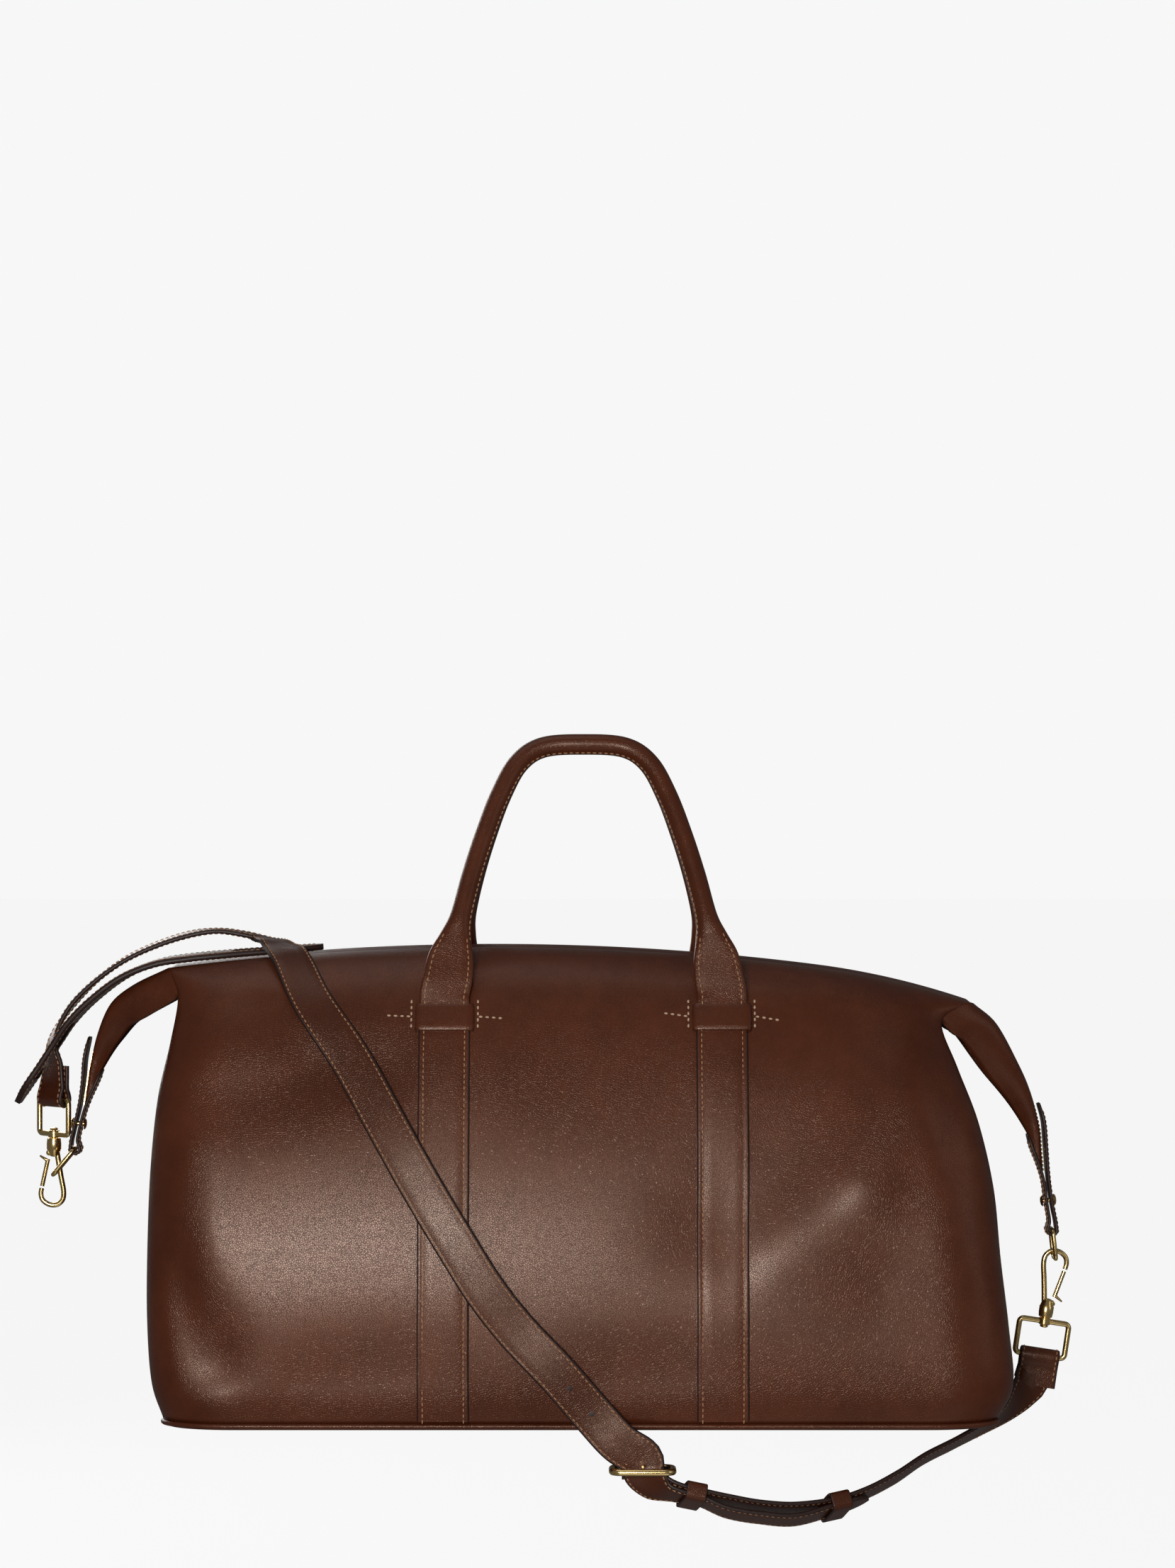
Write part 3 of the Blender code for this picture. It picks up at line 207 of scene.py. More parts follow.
class Finish:
    """A material being mixed: add() places any node, set() feeds the Principled shader."""

    def __init__(self, name, **fixed):
        self.material = bpy.data.materials.new(name)
        self.material.use_nodes = True
        self.tree = self.material.node_tree
        self.shader = self.tree.nodes["Principled BSDF"]
        for socket, value in fixed.items():
            self.shader.inputs[socket.replace("_", " ")].default_value = value
        self.place = self.add("ShaderNodeTexCoord", output="Object")

    def add(self, kind, settings=None, values=None, output=0):
        node = self.tree.nodes.new(kind)
        for setting, value in (settings or {}).items():
            if setting == "stops":
                ramp = node.color_ramp.elements
                while len(ramp) < len(value):
                    ramp.new(0.5)
                for stop, (position, colour) in zip(ramp, value):
                    stop.position = position
                    stop.color = (*colour, 1.0)
            else:
                setattr(node, setting, value)
        for socket, value in (values or {}).items():
            self.feed(node.inputs[socket], value)
        return node.outputs[output]

    def amount(self, kind, settings=None, values=None, output=0):
        return Amount(self, self.add(kind, settings, values, output))

    def feed(self, socket, value):
        if isinstance(value, Amount):
            value = value.socket
        if isinstance(value, bpy.types.NodeSocket):
            self.tree.links.new(value, socket)
        else:
            socket.default_value = value

    def set(self, **inputs):
        for socket, value in inputs.items():
            self.feed(self.shader.inputs[socket.replace("_", " ")], value)

    def mix(self, share, first, second, blend="MIX"):
        return self.add("ShaderNodeMix", {"data_type": "RGBA", "blend_type": blend},
                        {0: share, 6: first, 7: second}, 2)

    def noise(self, scale, detail=2.0, roughness=0.5, output="Fac"):
        return self.amount("ShaderNodeTexNoise", {},
                           {"Vector": self.place, "Scale": scale, "Detail": detail,
                            "Roughness": roughness}, output)


def mix_leather(name, light, dark, gloss, grain=1.0):
    """Leather of two close shades; gloss is its roughness, grain the depth of its pebbles."""
    made = Finish(name, Coat_Weight=0.07, Coat_Roughness=0.25, Coat_Tint=(1.0, 0.84, 0.74, 1.0),
                  Specular_IOR_Level=0.5, Specular_Tint=(1.0, 0.74, 0.60, 1.0))
    cloud = made.noise(9.0, 3.0, 0.55)
    mottle = made.noise(70.0, 3.0, 0.6)
    share = made.amount("ShaderNodeMapRange", {"clamp": True},
                        {"Value": 0.65 * cloud + 0.35 * mottle, "From Min": 0.36, "From Max": 0.64})
    colour = made.mix(share, (*dark, 1.0), (*light, 1.0))
    pores = made.amount("ShaderNodeTexVoronoi", {"feature": "DISTANCE_TO_EDGE"},
                        {"Vector": made.place, "Scale": 820.0}, "Distance")
    pits = made.amount("ShaderNodeMapRange", {"clamp": True},
                       {"Value": pores, "From Min": 0.0, "From Max": 0.12})
    colour = made.mix(0.10, colour, made.add("ShaderNodeCombineColor", {}, {0: pits, 1: pits, 2: pits}),
                      "MULTIPLY")
    scuffs = made.noise(260.0, 2.0, 0.5)
    made.set(Base_Color=colour, Roughness=gloss + 0.10 * (scuffs - 0.5) + 0.08 * (cloud - 0.5))
    height = 0.7 * pits + 0.5 * made.noise(1500.0, 2.0, 0.5) + 1.4 * made.noise(45.0, 2.0, 0.5)
    bump = made.add("ShaderNodeBump", {}, {"Strength": 0.30 * grain, "Distance": 0.00028, "Height": height})
    made.set(Normal=bump)
    return made.material


BODY_LIGHT, BODY_DARK = (0.106, 0.0262, 0.0100), (0.068, 0.0155, 0.0060)
STRAP_LIGHT, STRAP_DARK = (0.084, 0.0222, 0.0095), (0.058, 0.0146, 0.0064)
body_leather = mix_leather("body_leather", BODY_LIGHT, BODY_DARK, 0.325)
strap_leather = mix_leather("strap_leather", STRAP_LIGHT, STRAP_DARK, 0.33)


def edge_paint():
    made = Finish("edge_paint", Specular_IOR_Level=0.5)
    streak = made.noise(420.0, 3.0, 0.6)
    made.set(Base_Color=made.mix(streak, (0.012, 0.005, 0.004, 1.0), (0.036, 0.012, 0.008, 1.0)),
             Roughness=0.38 + 0.2 * streak)
    return made.material


edge_dark = edge_paint()


# Front and rear panels --------------------------------------------------------------------------
# Each is one hide, turned round the corners at its sides and folded over at the top towards the
# zip; its top corners run on past the bag as the two halves of a drooping wing.
FOOT_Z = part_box("front_panel")[0].z
CREST_Z = -0.1310
PANEL_WALL = 0.0022
# Stations of the wall from its foot to the zip: y, z, left edge x, right edge x, depth of the seam.
WALL = [
    (-0.1140, FOOT_Z, -0.2680, 0.2590, 0.74), (-0.1185, -0.4020, -0.2755, 0.2690, 0.72),
    (-0.1190, -0.3600, -0.2785, 0.2665, 0.70), (-0.1150, -0.3100, -0.2785, 0.2615, 0.70),
    (-0.1070, -0.2600, -0.2770, 0.2575, 0.70), (-0.0960, -0.2150, -0.2730, 0.2485, 0.70),
    (-0.0820, -0.1800, -0.2660, 0.2360, 0.70), (-0.0660, -0.1520, -0.2620, 0.2265, 0.72),
    (-0.0500, -0.1370, -0.2660, 0.2380, 0.84), (-0.0360, CREST_Z, -0.2690, 0.2470, 0.95),
    (-0.0240, -0.1325, -0.2700, 0.2485, 1.00), (-0.0115, -0.1385, -0.2700, 0.2485, 1.00),
]
TOP_PEAK_X, TOP_ARCH = -0.060, 1.650
DROOP_X, DROOP = 0.150, 0.75
UP_STEPS, ACROSS_STEPS, CORNER_STEPS, WING_STEPS = 84, 96, 12, 36
CORNER_REACH = 0.045
NOTCH_Y = -0.0660
WING_RIGHT = [(0.2485, -0.1675), (0.2640, -0.1800), (0.2800, -0.2060), (0.2890, -0.2260),
              (0.2945, -0.2480), (0.2956, -0.2630), (0.2966, -0.2760)]
WING_LEFT = [(-0.2700, -0.1440), (-0.2935, -0.1540), (-0.3095, -0.1662), (-0.3190, -0.1860),
             (-0.3240, -0.2070), (-0.3257, -0.2200), (-0.3274, -0.2330)]
WING_TIP_DEPTH, WING_TIP_HALF = 0.0042, 0.0070
WING_FULL, WING_PUFF = 0.0085, 0.0060
# Soft folds and dents: x and z of both ends, half width, depth inwards.
FRONT_FOLDS = [
    (0.165, -0.185, 0.085, -0.300, 0.036, 0.0048), (-0.285, -0.232, -0.130, -0.205, 0.024, 0.0036),
    (-0.268, -0.330, -0.236, -0.385, 0.022, 0.0064), (-0.214, -0.160, -0.170, -0.200, 0.017, 0.0018),
    (0.190, -0.345, 0.262, -0.362, 0.030, 0.0030), (0.226, -0.200, 0.236, -0.262, 0.012, 0.0022),
    (-0.030, -0.205, 0.045, -0.212, 0.032, 0.0016), (-0.170, -0.400, -0.110, -0.392, 0.028, 0.0018),
    (0.010, -0.400, 0.060, -0.392, 0.026, 0.0016), (-0.262, -0.180, -0.254, -0.250, 0.018, -0.0016),
    (0.216, -0.182, 0.176, -0.272, 0.022, -0.0028), (0.170, -0.285, 0.115, -0.319, 0.026, -0.0020),
]
REAR_FOLDS = [(-x0 - 0.012, z0, -x1 - 0.012, z1, wide, deep * 0.9) for x0, z0, x1, z1, wide, deep
              in FRONT_FOLDS]


def even_rows(fine, steps):
    """Stations at even distances along a polyline, measured on its first three numbers."""
    reach = [0.0]
    for a, b in zip(fine, fine[1:]):
        reach.append(reach[-1] + math.dist(a[:3], b[:3]))
    rows, k = [], 0
    for i in range(steps + 1):
        want = reach[-1] * i / steps
        while k < len(fine) - 2 and reach[k + 1] < want:
            k += 1
        span = reach[k + 1] - reach[k]
        rows.append(fine[k].lerp(fine[k + 1], (want - reach[k]) / span if span else 0.0))
    return rows


def smooth_rows(points, steps, per_span=24):
    """A Catmull-Rom curve through rows of numbers, as steps + 1 even stations."""
    rows = [Vector(p) for p in points]
    rows = [2 * rows[0] - rows[1]] + rows + [2 * rows[-1] - rows[-2]]
    fine = []
    for k in range(1, len(rows) - 2):
        p0, p1, p2, p3 = rows[k - 1:k + 3]
        for i in range(per_span):
            t = i / per_span
            fine.append(0.5 * (2 * p1 + (p2 - p0) * t + (2 * p0 - 5 * p1 + 4 * p2 - p3) * t * t
                               + (3 * p1 - p0 - 3 * p2 + p3) * t ** 3))
    fine.append(rows[-2])
    return even_rows(fine, steps)


def ease(t):
    t = max(0.0, min(1.0, t))
    return t * t * (3 - 2 * t)


def fold_depth(x, z, folds):
    total = 0.0
    for x0, z0, x1, z1, wide, deep in folds:
        dx, dz = x1 - x0, z1 - z0
        along = ((x - x0) * dx + (z - z0) * dz) / (dx * dx + dz * dz)
        nearest = max(0.0, min(1.0, along))
        off = math.hypot(x - x0 - dx * nearest, z - z0 - dz * nearest) / wide
        total += deep * math.exp(-off * off)
    return total


wall_rows = smooth_rows(WALL, UP_STEPS)
notch = min(range(len(wall_rows)), key=lambda i: abs(wall_rows[i][0] - NOTCH_Y))


def top_scale(x):
    fall = (x - TOP_PEAK_X) ** 2 / (2 * TOP_ARCH) + DROOP * max(0.0, x - DROOP_X) ** 2
    return 1.0 - fall / (CREST_Z - FOOT_Z)


def wall_point(row, x, y, folds=()):
    """A point of the front wall; folds press it inwards, but not at its foot, crest or sides."""
    z = FOOT_Z + (row[1] - FOOT_Z) * top_scale(x)
    if folds:
        side = ease(min(x - row[2], row[3] - x) / 0.030)
        tall = ease((row[1] - FOOT_Z) / 0.030) * ease((-0.139 - row[1]) / 0.022)
        y += fold_depth(x, z, folds) * side * tall
    return Vector((x, y, z))


def wall_columns(row, folds):
    """Points of one row of the wall, from its left seam to its right seam."""
    y, _, left, right, seam = row
    turn = -y * (1 - seam)
    corner = [math.radians(90 * (1 - i / CORNER_STEPS)) for i in range(CORNER_STEPS)]
    places = [(left + CORNER_REACH * (1 - math.sin(a)), y + turn * (1 - math.cos(a))) for a in corner]
    wide = right - left - 2 * CORNER_REACH
    places += [(left + CORNER_REACH + wide * i / ACROSS_STEPS, y) for i in range(ACROSS_STEPS + 1)]
    places += [(right - CORNER_REACH * (1 - math.sin(a)), y + turn * (1 - math.cos(a)))
               for a in reversed(corner)]
    return [wall_point(row, x, py, folds) for x, py in places]


def wing_columns(edge, ridge):
    """Carry the top of a side edge along the ridge of a wing, narrowing it to the tip."""
    spine = smooth_rows([(x, 0.0, z) for x, z in ridge], WING_STEPS)
    count = len(edge) - 1
    along = (spine[1] - spine[0]).normalized()
    turn = 1 if along.x > 0 else -1
    up = Vector((-along.z, 0.0, along.x)) * turn
    local = [((p - spine[0]).dot(up), p.y, Vector((p.x - spine[0].x, 0, p.z - spine[0].z)).dot(along))
             for p in edge]
    columns = []
    for i in range(1, WING_STEPS + 1):
        w = i / WING_STEPS
        tangent = (spine[min(i + 1, WING_STEPS)] - spine[i - 1]).normalized()
        normal = Vector((-tangent.z, 0.0, tangent.x)) * turn
        column = []
        for k, (high, y, ahead) in enumerate(local):
            q = k / count
            tip_high = -WING_TIP_DEPTH * (1 - q) ** 1.5 - 0.0015 * q
            tip_y = -WING_TIP_HALF + 0.0025 * q ** 2
            full = math.sin(math.pi * min(1.0, w * 1.06))
            drop = high + (tip_high - high) * ease(w) - WING_FULL * full * (1 - q) ** 1.5
            place = spine[i] + normal * drop + tangent * ahead * (1 - w) ** 2
            puff = WING_PUFF * full * math.sin(math.pi * q)
            column.append(Vector((place.x, y + (tip_y - y) * min(1.0, 1.4 * w) - puff, place.z)))
        columns.append(column)
    return columns


def link_object(name, mesh, *finishes):
    for finish in finishes:
        mesh.materials.append(finish)
    made = bpy.data.objects.new(name, mesh)
    bpy.context.scene.collection.objects.link(made)
    return made


def closed_mesh(name, verts, faces, smooth=35.0):
    """A mesh with its doubles merged, its faces turned outwards and its round parts smooth."""
    mesh = bpy.data.meshes.new(name)
    mesh.from_pydata([tuple(v) for v in verts], [], faces)
    work = bmesh.new()
    work.from_mesh(mesh)
    bmesh.ops.remove_doubles(work, verts=work.verts, dist=2e-6)
    bmesh.ops.recalc_face_normals(work, faces=work.faces)
    work.to_mesh(mesh)
    work.free()
    mesh.shade_smooth()
    mesh.set_sharp_from_angle(angle=math.radians(smooth))
    return mesh


def add_wall(made, thickness, rim=1, even=True):
    """Give a sheet its thickness, inwards; its cut edges take the finish numbered rim."""
    wall = made.modifiers.new("wall", "SOLIDIFY")
    wall.thickness = thickness
    wall.offset = -1.0
    wall.use_even_offset = even
    wall.material_offset_rim = rim


def face_outwards(mesh, inside):
    work = bmesh.new()
    work.from_mesh(mesh)
    vote = sum(f.normal.dot(f.calc_center_median() - Vector(inside)) * f.calc_area() for f in work.faces)
    if vote < 0:
        bmesh.ops.reverse_faces(work, faces=work.faces)
    work.to_mesh(mesh)
    work.free()


def settle(made, body, slot, *nodes):
    """Fix a finished piece to its body and hide the CAD nodes that it stands for."""
    if nodes:
        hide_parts(*nodes)
    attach(made, body)
    return made


def grid_faces(start, across, up):
    return [(start + i * up + j, start + i * up + j + 1, start + (i + 1) * up + j + 1,
             start + (i + 1) * up + j) for i in range(across - 1) for j in range(up - 1)]


front_grid = [wall_columns(row, FRONT_FOLDS) for row in wall_rows]
rear_grid = [wall_columns(row, REAR_FOLDS) for row in wall_rows]


def panel_strips(grid):
    """The body of a panel and its two wings, each as a list of columns from low to high."""
    right_edge = [row[-1] for row in grid[notch:]]
    left_edge = [row[0] for row in grid[notch:]]
    return [[list(column) for column in zip(*grid)],
            [right_edge] + wing_columns(right_edge, WING_RIGHT),
            [left_edge] + wing_columns(left_edge, WING_LEFT)]


for name, grid, side in (("front_panel", front_grid, 1), ("rear_panel", rear_grid, -1)):
    verts, faces = [], []
    for strip in panel_strips(grid):
        faces += grid_faces(len(verts), len(strip), len(strip[0]))
        verts += [Vector((p.x, p.y * side, p.z)) for column in strip for p in column]
    mesh = closed_mesh(name + "_hide", verts, faces)
    face_outwards(mesh, (0, 0, -0.30))
    panel = link_object(name + "_hide", mesh, body_leather, edge_dark)
    add_wall(panel, PANEL_WALL)
    settle(panel, "bag", "body_leather", name)


# End panels, base and piping --------------------------------------------------------------------
# The ends are separate pieces of the same hide, drawn in at mid depth and tucked under the wings;
# the base is a flat sole, sewn to the walls with a rolled strip of leather between them.
END_HOLLOW = 0.0100
END_STEPS = 24
BASE_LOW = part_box("base_panel")[0].z
SOLE_THICK = 0.0024
PIPING_RADIUS = 0.0017


def end_grid(right):
    inward = -1 if right else 1
    shape = []
    for k, row in enumerate(wall_rows[:notch + 1]):
        x = row[3] if right else row[2]
        half = -row[0] * row[4] - 0.0006
        shape.append((x + inward * 0.0012, half, wall_point(row, x, 0).z,
                      END_HOLLOW * math.sin(math.pi * min(1, 0.15 + 0.75 * k / notch))))
    x, half, z, hollow = shape[-1]
    for i in range(1, 13):
        t = i / 12
        shape.append((x + inward * 0.012 * t, half * (1 - 0.74 * t), z + 0.003 * t, hollow * (1 - 0.74 * t)))
    return [[Vector((x + inward * hollow * (1 - a * a), a * half, z))
             for a in (2 * i / END_STEPS - 1 for i in range(END_STEPS + 1))] for x, half, z, hollow in shape]


for name, right in (("left_end_panel", False), ("right_end_panel", True)):
    grid = end_grid(right)
    mesh = closed_mesh(name + "_hide", [v for line in grid for v in line],
                       grid_faces(0, len(grid), len(grid[0])))
    face_outwards(mesh, (0, 0, -0.30))
    end = link_object(name + "_hide", mesh, body_leather, edge_dark)
    add_wall(end, PANEL_WALL)
    settle(end, "bag", "body_leather", name)


def sweep(name, frames, section, finishes, painted=(), closed=False, smooth=40.0):
    """A solid swept along frames (place, u, v); section gives its (u, v) outline at each of them.
    Sides of the outline numbered in painted take the second finish."""
    outlines = [section(i) if callable(section) else section for i in range(len(frames))]
    count, size = len(frames), len(outlines[0])
    verts = [place + u * a + v * b for (place, u, v), outline in zip(frames, outlines)
             for a, b in outline]
    faces, paints = [], []
    for i in range(count if closed else count - 1):
        a, b = i * size, (i + 1) % count * size
        for k in range(size):
            faces.append((a + k, a + (k + 1) % size, b + (k + 1) % size, b + k))
            paints.append(1 if k in painted else 0)
    if not closed:
        faces += [tuple(range(size)), tuple(range((count - 1) * size, count * size))]
        paints += [1 if painted else 0] * 2
    mesh = bpy.data.meshes.new(name)
    mesh.from_pydata([tuple(v) for v in verts], [], faces)
    for finish in finishes:
        mesh.materials.append(finish)
    mesh.polygons.foreach_set("material_index", paints)
    work = bmesh.new()
    work.from_mesh(mesh)
    bmesh.ops.remove_doubles(work, verts=work.verts, dist=1e-6)
    bmesh.ops.recalc_face_normals(work, faces=work.faces)
    if work.calc_volume(signed=True) < 0:
        bmesh.ops.reverse_faces(work, faces=work.faces)
    work.to_mesh(mesh)
    work.free()
    mesh.shade_smooth()
    mesh.set_sharp_from_angle(angle=math.radians(smooth))
    return link_object(name, mesh)


def frames_along(points, across, closed=False):
    """Frames of a path: u lies across it, in the plane normal to the given direction."""
    frames, count = [], len(points)
    for i, p in enumerate(points):
        after = points[(i + 1) % count] if closed else points[min(i + 1, count - 1)]
        before = points[i - 1] if closed else points[max(i - 1, 0)]
        along = (after - before).normalized()
        u = along.cross(across).normalized()
        frames.append((p, u, u.cross(along).normalized()))
    return frames


def circle(radius, sides=14):
    return [(radius * math.cos(2 * math.pi * k / sides), radius * math.sin(2 * math.pi * k / sides))
            for k in range(sides)]


right_end, left_end = end_grid(True)[0], end_grid(False)[0]
foot = (front_grid[0] + right_end[1:-1] + [Vector((p.x, -p.y, p.z)) for p in reversed(front_grid[0])]
        + list(reversed(left_end[1:-1])))
foot = [p for i, p in enumerate(foot) if (p - foot[i - 1]).length > 2e-4]
piping_z = FOOT_Z - PIPING_RADIUS + 0.0003
loop = [Vector((p.x, p.y, piping_z)) for p in foot]
piping = sweep("piping", frames_along(loop, Vector((0, 0, 1)), True), circle(PIPING_RADIUS, 10),
               (body_leather,), closed=True)
settle(piping, "bag", "body_leather", "base_piping")


def drawn_in(outline, amount):
    count = len(outline)
    moved = []
    for i, p in enumerate(outline):
        along = outline[(i + 3) % count] - outline[i - 3]
        moved.append(p + Vector((-along.y, along.x, 0)).normalized() * amount)
    return moved


def slab(name, outline, levels, *finishes):
    """A flat plate whose rim is set in by the second number of each level."""
    verts = [Vector((p.x, p.y, z)) for z, amount in levels for p in drawn_in(outline, amount)]
    size, count = len(outline), len(levels)
    faces = [tuple(range(size)), tuple(range((count - 1) * size, count * size))]
    faces += [(r * size + i, r * size + (i + 1) % size, (r + 1) * size + (i + 1) % size, (r + 1) * size + i)
              for r in range(count - 1) for i in range(size)]
    mesh = closed_mesh(name, verts, faces)
    face_outwards(mesh, (0, 0, (levels[0][0] + levels[-1][0]) / 2))
    return link_object(name, mesh, *finishes)


sole = slab("sole", foot, [(BASE_LOW, 0.0040), (BASE_LOW + 0.0004, 0.0028),
                           (BASE_LOW + SOLE_THICK - 0.0003, 0.0020), (BASE_LOW + SOLE_THICK, 0.0024)],
            body_leather)
settle(sole, "bag", "body_leather", "base_panel")


# Lining and base board --------------------------------------------------------------------------
# Brown cotton twill, sewn in under the zip, and a stiff board under its floor.
LINING_SPACE = 0.0090
twill = Finish("twill", Roughness=0.9)
waves = twill.amount("ShaderNodeTexWave", {"bands_direction": "DIAGONAL"},
                     {"Vector": twill.place, "Scale": 420.0, "Distortion": 0.4}, "Fac")
twill.set(Base_Color=twill.mix(waves, (0.050, 0.032, 0.022, 1.0), (0.085, 0.058, 0.040, 1.0)),
          Normal=twill.add("ShaderNodeBump", {}, {"Strength": 0.4, "Distance": 0.0003, "Height": waves}))
lining_cloth = twill.material
rings = []
for k in range(0, notch + 1, 2):
    ring = []
    for line, side in ((front_grid[k], 1), (list(reversed(rear_grid[k])), -1)):
        for i, p in enumerate(line):
            edge = min(i, len(line) - 1 - i)
            pull = LINING_SPACE + (END_HOLLOW if edge < CORNER_STEPS else 0.0)
            x = p.x + (pull if p.x < 0 else -pull)
            z = max(FOOT_Z + 0.006, p.z - (0.0045 if k > notch - 9 else 0.0))
            ring.append(Vector((x, (p.y + LINING_SPACE) * side, z)))
    rings.append(ring)
size = len(rings[0])
half = size // 2
faces = [(r * size + i, r * size + (i + 1) % size, (r + 1) * size + (i + 1) % size, (r + 1) * size + i)
         for r in range(len(rings) - 1) for i in range(size)]
faces += [(i, i + 1, size - 2 - i, size - 1 - i) for i in range(half - 1)]
mesh = closed_mesh("lining_bag", [v for ring in rings for v in ring], faces)
face_outwards(mesh, (0, 0, -0.30))
lining = link_object("lining_bag", mesh, lining_cloth)
add_wall(lining, 0.0006, rim=0, even=False)
settle(lining, "bag", "lining_cloth", "lining")

card = Finish("card", Roughness=0.9)
card.set(Base_Color=card.mix(card.noise(300.0, 3.0, 0.6), (0.19, 0.145, 0.09, 1.0), (0.26, 0.20, 0.13, 1.0)))
board_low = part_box("base_board")[0].z
board = slab("board", foot, [(board_low, 0.0165), (board_low + 0.0025, 0.0165)], card.material)
settle(board, "bag", "base_card", "base_board")


# Bands ------------------------------------------------------------------------------------------
# Four straps of the same leather run up the walls from the base to the handles. Each is sewn down
# along both of its edges with waxed tan thread.
BAND_X = (-0.0905, 0.0850)
BAND_HALF, BAND_THICK = 0.01625, 0.0022
KEEPER_TOP_Z = -0.1665
STITCH_INSET = 0.0034
STITCH_PITCH = 0.0037


def wall_at(v, x, side=1):
    """The wall's surface at row v, which may be a fraction, and at x; side -1 is the rear."""
    low = max(0, min(int(v), len(wall_rows) - 2))
    row = wall_rows[low].lerp(wall_rows[low + 1], v - low)
    p = wall_point(row, x, row[0], FRONT_FOLDS if side == 1 else REAR_FOLDS)
    return Vector((p.x, p.y * side, p.z))


def on_wall(v, x, side=1, lift=0.0):
    """A point lifted off the wall along its normal, and that normal."""
    up = wall_at(v + 0.5, x, side) - wall_at(v - 0.5, x, side)
    across = wall_at(v, x + 0.002, side) - wall_at(v, x - 0.002, side)
    normal = across.cross(up).normalized() * side
    return wall_at(v, x, side) + normal * lift, normal


def row_at(x, z, side=1):
    """The row of the wall that stands at height z."""
    low, high = 0.0, float(len(wall_rows) - 8)
    for _ in range(30):
        middle = (low + high) / 2
        if wall_at(middle, x, side).z < z:
            low = middle
        else:
            high = middle
    return low


def thread(name, colour):
    made = Finish(name, Roughness=0.62)
    ply = made.noise(2200.0, 1.0, 0.5)
    made.set(Base_Color=made.mix(ply, (*(c * 0.62 for c in colour), 1.0), (*colour, 1.0)))
    return made.material


tan_thread = thread("tan_thread", (0.52, 0.27, 0.135))
cream_thread = thread("cream_thread", (0.72, 0.50, 0.34))


def repeating_tree(name, shape_node, shape_values, smooth):
    """Nodes that set one small shape at even distances along every line of edges.

    Inputs: the lines, the pitch, the shape's size, the material and the seed of its variation."""
    tree = bpy.data.node_groups.new(name, "GeometryNodeTree")
    face = tree.interface
    face.new_socket("Lines", in_out="INPUT", socket_type="NodeSocketGeometry")
    face.new_socket("Pitch", in_out="INPUT", socket_type="NodeSocketFloat")
    face.new_socket("Size", in_out="INPUT", socket_type="NodeSocketVector")
    face.new_socket("Finish", in_out="INPUT", socket_type="NodeSocketMaterial")
    face.new_socket("Seed", in_out="INPUT", socket_type="NodeSocketInt")
    face.new_socket("Result", in_out="OUTPUT", socket_type="NodeSocketGeometry")

    def put(kind, **settings):
        node = tree.nodes.new(kind)
        for setting, value in settings.items():
            setattr(node, setting, value)
        return node

    def link(source, output, target, socket):
        tree.links.new(source.outputs[output], target.inputs[socket])

    entry, result = put("NodeGroupInput"), put("NodeGroupOutput")
    curve = put("GeometryNodeMeshToCurve")
    spaced = put("GeometryNodeResampleCurve", mode="LENGTH")
    shape = put(shape_node)
    for socket, value in shape_values.items():
        shape.inputs[socket].default_value = value
    sized = put("GeometryNodeTransform")
    tangent = put("GeometryNodeInputTangent")
    turn = put("FunctionNodeAlignRotationToVector", axis="X")
    vary = put("FunctionNodeRandomValue", data_type="FLOAT_VECTOR")
    vary.inputs[0].default_value = (0.94, 0.94, 0.94)
    vary.inputs[1].default_value = (1.04, 1.04, 1.04)
    place = put("GeometryNodeInstanceOnPoints")
    real = put("GeometryNodeRealizeInstances")
    soft = put("GeometryNodeSetShadeSmooth")
    coat = put("GeometryNodeSetMaterial")
    link(entry, "Lines", curve, "Mesh")
    link(curve, "Curve", spaced, "Curve")
    link(entry, "Pitch", spaced, "Length")
    link(shape, "Mesh", sized, "Geometry")
    link(entry, "Size", sized, "Scale")
    link(tangent, "Tangent", turn, "Vector")
    link(entry, "Seed", vary, "Seed")
    link(spaced, "Curve", place, "Points")
    link(sized, "Geometry", place, "Instance")
    link(turn, "Rotation", place, "Rotation")
    link(vary, 0, place, "Scale")
    link(place, "Instances", real, "Geometry")
    link(real, "Geometry", soft, "Geometry")
    soft.inputs["Shade Smooth"].default_value = smooth
    link(soft, "Geometry", coat, "Geometry")
    link(entry, "Finish", coat, "Material")
    link(coat, "Geometry", result, "Result")
    return tree


stitch_tree = repeating_tree("stitches", "GeometryNodeMeshUVSphere",
                             {"Segments": 8, "Rings": 5, "Radius": 1.0}, True)


def repeat_along(name, lines, tree, pitch, size, finish, seed=1):
    """One mesh of a small shape repeated along polylines."""
    verts, edges = [], []
    for line in lines:
        edges += [(len(verts) + i, len(verts) + i + 1) for i in range(len(line) - 1)]
        verts += [tuple(p) for p in line]
    guide = bpy.data.meshes.new(name + "_lines")
    guide.from_pydata(verts, edges, [])
    made = link_object(name, guide)
    grow = made.modifiers.new("repeat", "NODES")
    grow.node_group = tree
    ports = {item.name: item.identifier for item in tree.interface.items_tree if item.in_out == "INPUT"}
    for port, value in (("Pitch", pitch), ("Size", size), ("Finish", finish), ("Seed", seed)):
        grow[ports[port]] = value
    view = bpy.context.evaluated_depsgraph_get()
    made.data = bpy.data.meshes.new_from_object(made.evaluated_get(view))
    made.modifiers.clear()
    return made


def sew(name, lines, body, slot="strap_leather", pitch=STITCH_PITCH, finish=None, length=0.0029, seed=1):
    """Run a row of stitches along each line and fix them to a body."""
    made = repeat_along(name, lines, stitch_tree, pitch, (length / 2, 0.00045, 0.00045),
                        finish or tan_thread, seed)
    return settle(made, body, slot)


